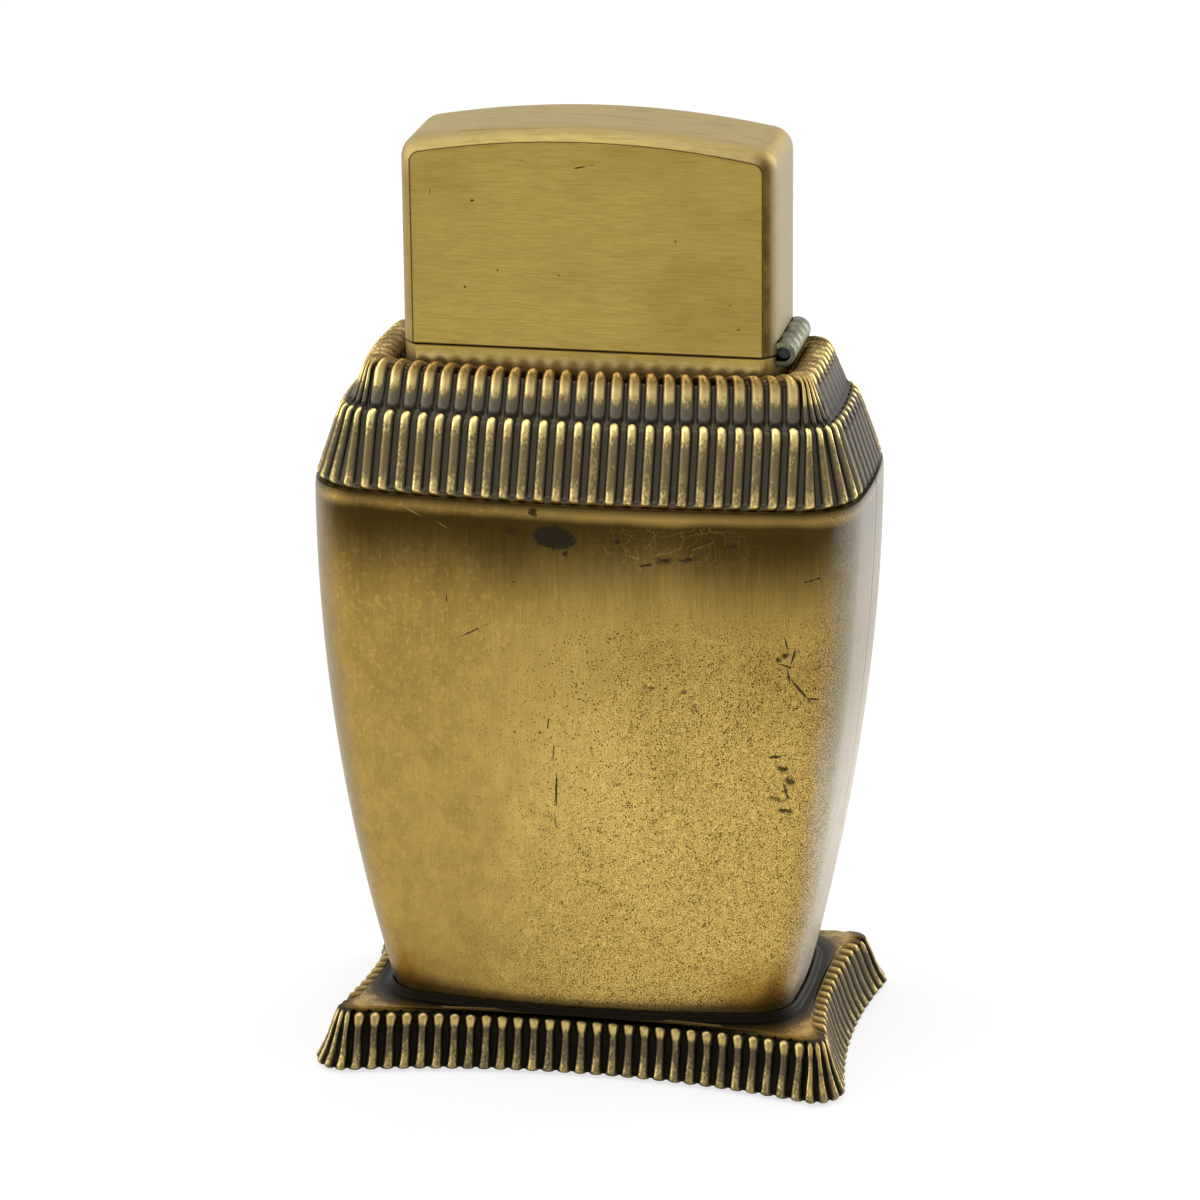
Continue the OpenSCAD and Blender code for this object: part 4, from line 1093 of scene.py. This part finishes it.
@dataclass
class Hinge:
    """One leaf of the barrel of rolled knuckles, of which the lower leaf has the ones at the ends."""

    leaf: Leaf
    axis: Pair = (19.5, 75.4)
    outer: float = 1.3
    sheet: float = 0.5
    length: float = 9.6
    gap: float = 0.12
    inner_x: float = 18.35
    leaf_h: float = 6.0
    leaf_half: float = 3.7
    knuckles: int = 5
    bevel: float = 0.08
    nose: float = 0.96

    def strip(self) -> Array:
        """Give the closed section of the leaf in X and height from the axis: arm and roll round the pin."""
        inner = self.outer - self.sheet
        turn = np.radians(np.linspace(-90, 165, 27))
        roll = [(self.outer * math.cos(a), self.outer * math.sin(a)) for a in turn]
        roll += [(inner * math.cos(a), inner * math.sin(a)) for a in turn[::-1]]
        arm_x = self.inner_x - self.axis[0] - self.sheet
        return np.array([(arm_x, -self.outer), *roll, (arm_x, -inner)]) * [1, -self.leaf.value]

    def mesh(self) -> Mesh:
        """Give one leaf with its knuckles."""
        pitch, side = self.length / self.knuckles, self.leaf.value
        flat = self.strip()
        middle, n = flat.mean(0), len(flat)
        points, faces = [], []
        for k in range(0 if self.leaf is Leaf.LOWER else 1, self.knuckles, 2):
            y0 = k * pitch - self.length / 2 + (self.gap / 2 if k else 0)
            y1 = (k + 1) * pitch - self.length / 2 - (self.gap / 2 if k < self.knuckles - 1 else 0)
            base = len(points)
            for y, size in ((y0, self.nose), (y0 + self.bevel, 1.0), (y1 - self.bevel, 1.0), (y1, self.nose)):
                ring = middle + (flat - middle) * size + self.axis
                points += [(x, y, z) for x, z in ring]
            quads = tube(4, n, base, False)
            for first, way in ((base, -1), (base + 3 * n, 1)):
                for i in range(n // 2 - 1):
                    quads.append([first + v for v in (i, i + 1, n - 2 - i, n - 1 - i)][::way])
            faces += [quad[::side] for quad in quads]
        low = self.axis[1] + (self.outer - self.sheet if side > 0 else -self.outer - self.leaf_h + self.sheet)
        corner = len(points)
        points += [(x, y, z) for x in (self.inner_x - self.sheet, self.inner_x)
                   for y in (-self.leaf_half, self.leaf_half) for z in (low, low + self.leaf_h)]
        faces += [[corner + i for i in quad] for quad in
                  ((0, 1, 3, 2), (4, 6, 7, 5), (0, 4, 5, 1), (2, 3, 7, 6), (0, 2, 6, 4), (1, 5, 7, 3))]
        return np.array(points), faces, {}


@dataclass
class Wick:
    """Cotton wick laid from four strands, its top frayed."""

    x: float = 1.5
    low: float = 57.0
    high: float = 83.0
    strand_r: float = 0.68
    lay_r: float = 0.64
    turns: float = 4.0
    cut_short: tuple[float, ...] = (0.0, 0.35, 0.15, 0.5)
    tip_share: float = 0.55
    steps: int = 90
    sides: int = 12

    def mesh(self) -> Mesh:
        """Give the strands as one mesh."""
        around = [2 * math.pi * i / self.sides for i in range(self.sides)]
        points, faces = [], []
        for strand, cut in enumerate(self.cut_short):
            faces += tube(self.steps + 1, self.sides, len(points))
            for k in range(self.steps + 1):
                t = k / self.steps
                z = self.low + (self.high - cut - self.low) * t
                angle = 2 * math.pi * (self.turns * t + strand / 4)
                x, y = self.x + self.lay_r * math.cos(angle), self.lay_r * math.sin(angle)
                size = self.strand_r * (1.0 if k < self.steps else self.tip_share)
                points += [(x + size * math.cos(a), y + size * math.sin(a), z) for a in around]
        return np.array(points), faces, {}


@dataclass
class Pad:
    """Felt sheet under the foot, with a soft edge and a slightly uneven face."""

    width: float = 50.2
    depth: float = 30.6
    radius: float = 0.6
    thick: float = 0.9
    waist: Pair = (-3.3, -1.4)

    def mesh(self) -> Mesh:
        """Give the pad as rings that shrink towards the middle."""
        core = (self.width / 2 - self.radius, self.depth / 2 - self.radius)
        feet, ways = Ring((30, 5, 18), 2).spots(core, self.waist)
        edge = feet + ways * self.radius
        levels = [(s, 0.0) for s in (0.1, 0.3, 0.5, 0.7, 0.86, 0.97)]
        levels += [(0.994, 0.04), (1.0, 0.2), (1.0, self.thick - 0.15), (0.99, self.thick)]
        levels += [(s, self.thick) for s in (0.9, 0.6, 0.3, 0.1)]
        points = np.concatenate([np.column_stack([edge * s, np.full(len(edge), z)]) for s, z in levels])
        return points, tube(len(levels), len(edge)), {}


def seen(add: Callable) -> Socket:
    """Give 1 for rays that come from the camera, straight or through glass."""
    path = add("LightPath")
    rays = {0: path.outputs["Is Camera Ray"], 1: path.outputs["Is Transmission Ray"]}
    return add("Math", rays, operation="MAXIMUM").outputs[0]


@dataclass(frozen=True)
class Studio:
    """Floor, soft lamps, white surround and the photograph's camera."""

    place: Triple = (0.10261, -0.51210, 0.22370)
    yaw: float = 11.353
    pitch: float = 18.693
    roll: float = -0.585
    lens_px: float = 5383.7
    frame_px: float = 1200.0
    sensor_mm: float = 36.0
    near_clip: float = 0.01
    aim: Triple = (0.0, 0.0, 0.05)
    table_half: float = 3.0
    table_glow: float = 0.72
    dark_side: Triple = (0.18, -0.97, 0.10)
    boxes: tuple[tuple[str, Triple, Pair, float], ...] = (
        ("left_box", (-0.60, -0.10, 0.30), (0.5, 0.6), 1.8),
        ("right_box", (0.48, 0.42, 0.25), (0.4, 0.6), 2.4),
        ("top_box", (0.0, -0.28, 0.80), (0.9, 0.7), 3.0),
    )

    def camera(self) -> None:
        """Set the camera where the photograph was taken."""
        yaw, pitch, roll = (math.radians(a) for a in (self.yaw, self.pitch, self.roll))
        ahead = Vector((-math.sin(yaw) * math.cos(pitch), math.cos(yaw) * math.cos(pitch), -math.sin(pitch)))
        level = Vector((math.cos(yaw), math.sin(yaw), 0.0))
        upright = level.cross(ahead)
        right = math.cos(roll) * level + math.sin(roll) * upright
        up = -math.sin(roll) * level + math.cos(roll) * upright
        lens = bpy.data.cameras.new("camera")
        lens.sensor_width = self.sensor_mm
        lens.lens = self.lens_px / self.frame_px * self.sensor_mm
        lens.clip_start = self.near_clip
        camera = show("camera", lens)
        turned = Matrix((right, up, -ahead)).transposed().to_4x4()
        camera.matrix_world = Matrix.Translation(self.place) @ turned
        bpy.context.scene.camera = camera

    def lamp(self, name: str, place: Triple, size: Pair, power: float) -> None:
        """Add one soft box that faces the lighter.

        Args:
            name: The lamp's name.
            place: Its middle in metres.
            size: Its width and height in metres.
            power: Its power in watts.
        """
        light = bpy.data.lights.new(name, "AREA")
        light.shape = "RECTANGLE"
        light.size, light.size_y = size
        light.energy = power
        turned = (Vector(self.aim) - Vector(place)).to_track_quat("-Z", "Y").to_matrix().to_4x4()
        show(name, light).matrix_world = Matrix.Translation(place) @ turned

    def surround(self) -> None:
        """Light the room evenly and show white where nothing else is."""
        world = bpy.data.worlds.new("white_room")
        add = partial(add_node, clear_tree(world))
        # The tent is a little darker on the side where the camera stands
        inputs = {0: add("TexCoord").outputs["Generated"], 1: self.dark_side}
        aim = add("VectorMath", inputs, operation="DOT_PRODUCT").outputs["Value"]
        level = add("MapRange", {0: aim, 1: 0.35, 2: 0.98, 3: 0.98, 4: 0.52}, interpolation_type="SMOOTHSTEP")
        room = add("Background", {0: linear("#f2f1ee"), 1: level.outputs[0]})
        white = add("Background", {0: WHITE, 1: 1.0})
        mix = add("MixShader", {0: seen(add), 1: room.outputs[0], 2: white.outputs[0]})
        add("OutputWorld", {0: mix.outputs[0]})
        bpy.context.scene.world = world

    def floor(self) -> None:
        """Lay a white table top that keeps a faint shadow."""
        mesh = bpy.data.meshes.new("table_top")
        half = self.table_half
        corners = [(-half, -half, 0), (half, -half, 0), (half, half, 0), (-half, half, 0)]
        mesh.from_pydata(corners, [], [(0, 1, 2, 3)])
        table = show("table_top", mesh)
        material = bpy.data.materials.new("white_board")
        add = partial(add_node, clear_tree(material))
        share = add("Math", {0: seen(add), 1: self.table_glow}, operation="MULTIPLY")
        board = add("BsdfDiffuse", {0: linear("#f2f2f2")})
        glow = add("Emission", {0: WHITE, 1: 1.0})
        mix = add("MixShader", {0: share.outputs[0], 1: board.outputs[0], 2: glow.outputs[0]})
        add("OutputMaterial", {0: mix.outputs[0]})
        mesh.materials.append(material)

    def build(self) -> None:
        """Set up camera, surround, floor and lamps."""
        self.camera()
        self.surround()
        self.floor()
        for box in self.boxes:
            self.lamp(*box)


def dress(nodes: dict[str, bpy.types.Object], finish: Material, names: str) -> None:
    """Give solids that keep their own shape one finish.

    Args:
        nodes: The frame's node objects by name.
        finish: The material.
        names: The nodes' names with spaces between them.
    """
    for name in names.split():
        mesh = nodes[name].data
        mesh.materials.clear()
        mesh.materials.append(finish)
        log.info("%s: %s", name, finish.name)


# Stains and chips on the front shell: x, z, half_x, half_z, angle, soft, strength and fray
BODY_MARKS = tuple(Patch(*row) for row in (
    (-1.8, 58.4, 2.35, 1.35, -6, 0.1, 0.95, 0.22), (-6.1, 58.9, 1.0, 0.6, 0, 0.5, 0.6),
    (-4.0, 60.8, 0.6, 0.5, 20, 0.3, 0.9), (-0.7, 56.8, 0.35, 0.5, 10, 0.3, 0.9),
    (4.6, 58.3, 0.35, 0.3, 0, 0.3, 0.9), (7.5, 56.0, 0.8, 0.2, 8, 0.3, 0.9),
    (9.3, 56.5, 1.1, 0.4, 5, 0.4, 0.9), (11.5, 56.7, 1.2, 0.32, 12, 0.4, 0.9),
    (16.0, 58.2, 0.8, 0.32, 20, 0.4, 0.6), (-12.9, 51.4, 0.09, 0.6, 3, 0.2, 0.9),
    (23.9, 54.8, 1.1, 0.14, 12, 0.3, 0.9), (-10.3, 48.1, 2.0, 0.1, 28, 0.2, 0.9),
    (-2.6, 38.8, 0.09, 0.7, -5, 0.2, 0.9, 0.3), (-2.1, 35.8, 0.09, 1.0, -5, 0.2, 0.9, 0.3),
    (-1.9, 31.6, 0.14, 2.1, -2, 0.2, 0.9, 0.25), (-2.1, 28.3, 0.1, 1.0, 5, 0.2, 0.6, 0.3),
    (-6.1, 37.7, 0.22, 0.22, 0, 0.2, 0.9), (-3.5, 37.8, 0.22, 0.22, 0, 0.2, 0.9),
    (-5.9, 53.6, 0.2, 0.2, 0, 0.2, 0.9), (7.9, 43.2, 0.4, 0.28, 0, 0.3, 0.9),
    (9.4, 43.2, 0.22, 0.22, 0, 0.2, 0.9), (11.1, 42.9, 0.7, 0.28, 0, 0.4, 0.6),
    (15.4, 38.9, 0.13, 0.7, -35, 0.3, 0.6, 0.3), (20.5, 46.6, 0.35, 0.35, 0, 0.2, 0.9),
    (21.3, 47.0, 0.5, 0.35, 30, 0.4, 0.9, 0.4), (21.4, 48.2, 0.1, 0.9, 14, 0.3, 0.9, 0.3),
    (22.1, 46.9, 0.12, 0.9, -16, 0.3, 0.9, 0.3), (21.4, 45.9, 0.8, 0.12, -18, 0.3, 0.9, 0.3),
    (21.6, 44.9, 0.12, 0.9, 10, 0.3, 0.9, 0.3), (22.7, 43.4, 1.9, 0.15, -53, 0.4, 0.9, 0.3),
    (24.0, 42.3, 0.7, 0.12, -15, 0.3, 0.9, 0.3), (20.2, 36.2, 1.1, 0.22, 8, 0.3, 0.9, 0.5),
    (21.0, 34.9, 0.8, 0.4, -25, 0.3, 0.9, 0.5), (21.7, 33.5, 0.9, 0.5, -35, 0.4, 0.9, 0.5),
    (21.3, 32.4, 0.2, 1.3, 14, 0.4, 0.9, 0.5), (20.3, 31.6, 1.0, 0.34, -20, 0.4, 0.6, 0.5),
    (21.1, 30.3, 0.9, 0.3, -12, 0.3, 0.9, 0.5), (19.9, 34.0, 0.5, 0.14, 40, 0.3, 0.6, 0.4),
))
# Pits in the front of the lid
LID_MARKS = tuple(Patch(*row) for row in (
    (-15.7, 91.0, 0.1, 0.5, 0, 0.3, 0.6), (-11.4, 90.3, 0.22, 0.16, 0, 0.3, 0.9),
    (-0.5, 94.1, 0.7, 0.12, 14, 0.3, 0.9), (0.7, 94.4, 0.4, 0.1, 10, 0.3, 0.9),
    (-9.0, 83.3, 0.16, 0.16, 0, 0.2, 0.9), (-2.7, 83.0, 0.18, 0.14, 0, 0.2, 0.9),
    (-12.3, 81.4, 0.18, 0.16, 0, 0.2, 0.9), (14.5, 80.7, 0.32, 0.1, 40, 0.3, 0.6),
    (15.3, 78.2, 0.26, 0.1, 30, 0.3, 0.9), (-6.4, 94.6, 0.3, 0.08, 20, 0.3, 0.6),
))
# Bright scratches in the dark band
SCUFFS = tuple(Patch(*row) for row in (
    (-16.6, 60.2, 1.5, 0.08, -24, 0.4, 0.6, 0.3), (-13.2, 58.9, 0.9, 0.07, -30, 0.4, 0.4),
    (9.0, 57.2, 1.2, 0.09, 12, 0.5, 0.5), (12.8, 58.0, 1.0, 0.08, 24, 0.5, 0.45),
))
PLAIN = (
    (Metal("zinc_plated_steel", "#a9abac", "#6d6d68", 0.34),
     "collar_plate plate_screws lighter_socket socket_bush tie_screw tie_washer flint_spring"),
    (Metal("satin_stainless_sheet", "#c4c3bf", "#8b8983", 0.28, (3.0, 3.0, 0.12)),
     "insert_tank chimney wheel_rivet cam cam_rivet cam_spring"),
    (Metal("oiled_tool_steel", "#57575a", "#2c2b2b", 0.4, (0.2, 0.2, 0.2), 0.01), "flint_wheel hinge_pin"),
    (Metal("turned_brass", "#c9a75a", "#8a6b30", 0.3, (2.0, 2.0, 0.1)), "flint_tube flint_screw"),
    (Metal("sintered_flint_alloy", "#55524e", "#2b2926", 0.6, (0.12, 0.12, 0.12), 0.02), "flint"),
    (Cloth("grey_felt", "#8f8f8c", "#6f6f6c", 0.14), "insert_felt"),
)


def main() -> None:
    """Build the scene round the frame."""
    logging.basicConfig(level=logging.INFO, format="%(name)s %(message)s")
    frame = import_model()
    bpy.context.scene.view_settings.view_transform = "Standard"
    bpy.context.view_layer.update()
    Studio().build()

    foot_brass = CastBrass("rubbed_foot_brass", "#c6ad6c", "#5c523e", "#3c3629", "#1b1711", "#ab8430",
                           "#161310", 0.7)
    body_brass = BodyBrass(patches=BODY_MARKS, scuffs=SCUFFS).make()
    case_brass = CaseBrass(patches=LID_MARKS).make()
    nickel = Metal("dull_nickel", "#7c7e67", "#47473a", 0.36).make()
    cotton = Cloth("cotton", "#ded6c2", "#a99f88", 0.1).make()
    baize = Cloth("green_felt", "#2c3d2b", "#1b271b", 0.14).make()
    stand, brass = Carrier.STAND, Slot.BRUSHED_BRASS
    for node, ending, shape, body, slot, finish, sharp_deg in (
            ("collar", "casting", Collar(), stand, Slot.CASTING, CastBrass("rubbed_collar_brass").make(), 55),
            ("foot", "casting", Foot(), stand, Slot.CASTING, foot_brass.make(), 55),
            ("body_front_shell", "sheet", Body(), stand, brass, body_brass, 50),
            ("body_back_shell", "sheet", Body(way=-1), stand, brass, body_brass, 50),
            ("lid", "sheet", Lid(), Carrier.LID, brass, case_brass, 34),
            ("hinge_lower_leaf", "rolled", Hinge(Leaf.LOWER), Carrier.LIGHTER, Slot.NICKEL, nickel, 35),
            ("hinge_upper_leaf", "rolled", Hinge(Leaf.UPPER), Carrier.LID, Slot.NICKEL, nickel, 35),
            ("wick", "strands", Wick(), Carrier.LIGHTER, Slot.COTTON, cotton, 60),
            ("foot_felt", "pad", Pad(), stand, Slot.BAIZE, baize, 60)):
        piece = new_piece(f"{node}_{ending}", shape.mesh(), body, finish, sharp_deg)
        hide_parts(node)

    nodes = frame["nodes"]
    dress(nodes, case_brass, "lower_case")
    dress(nodes, cotton, "packing")
    for look, names in PLAIN:
        dress(nodes, look.make(), names)


if __name__ == "__main__":
    main()
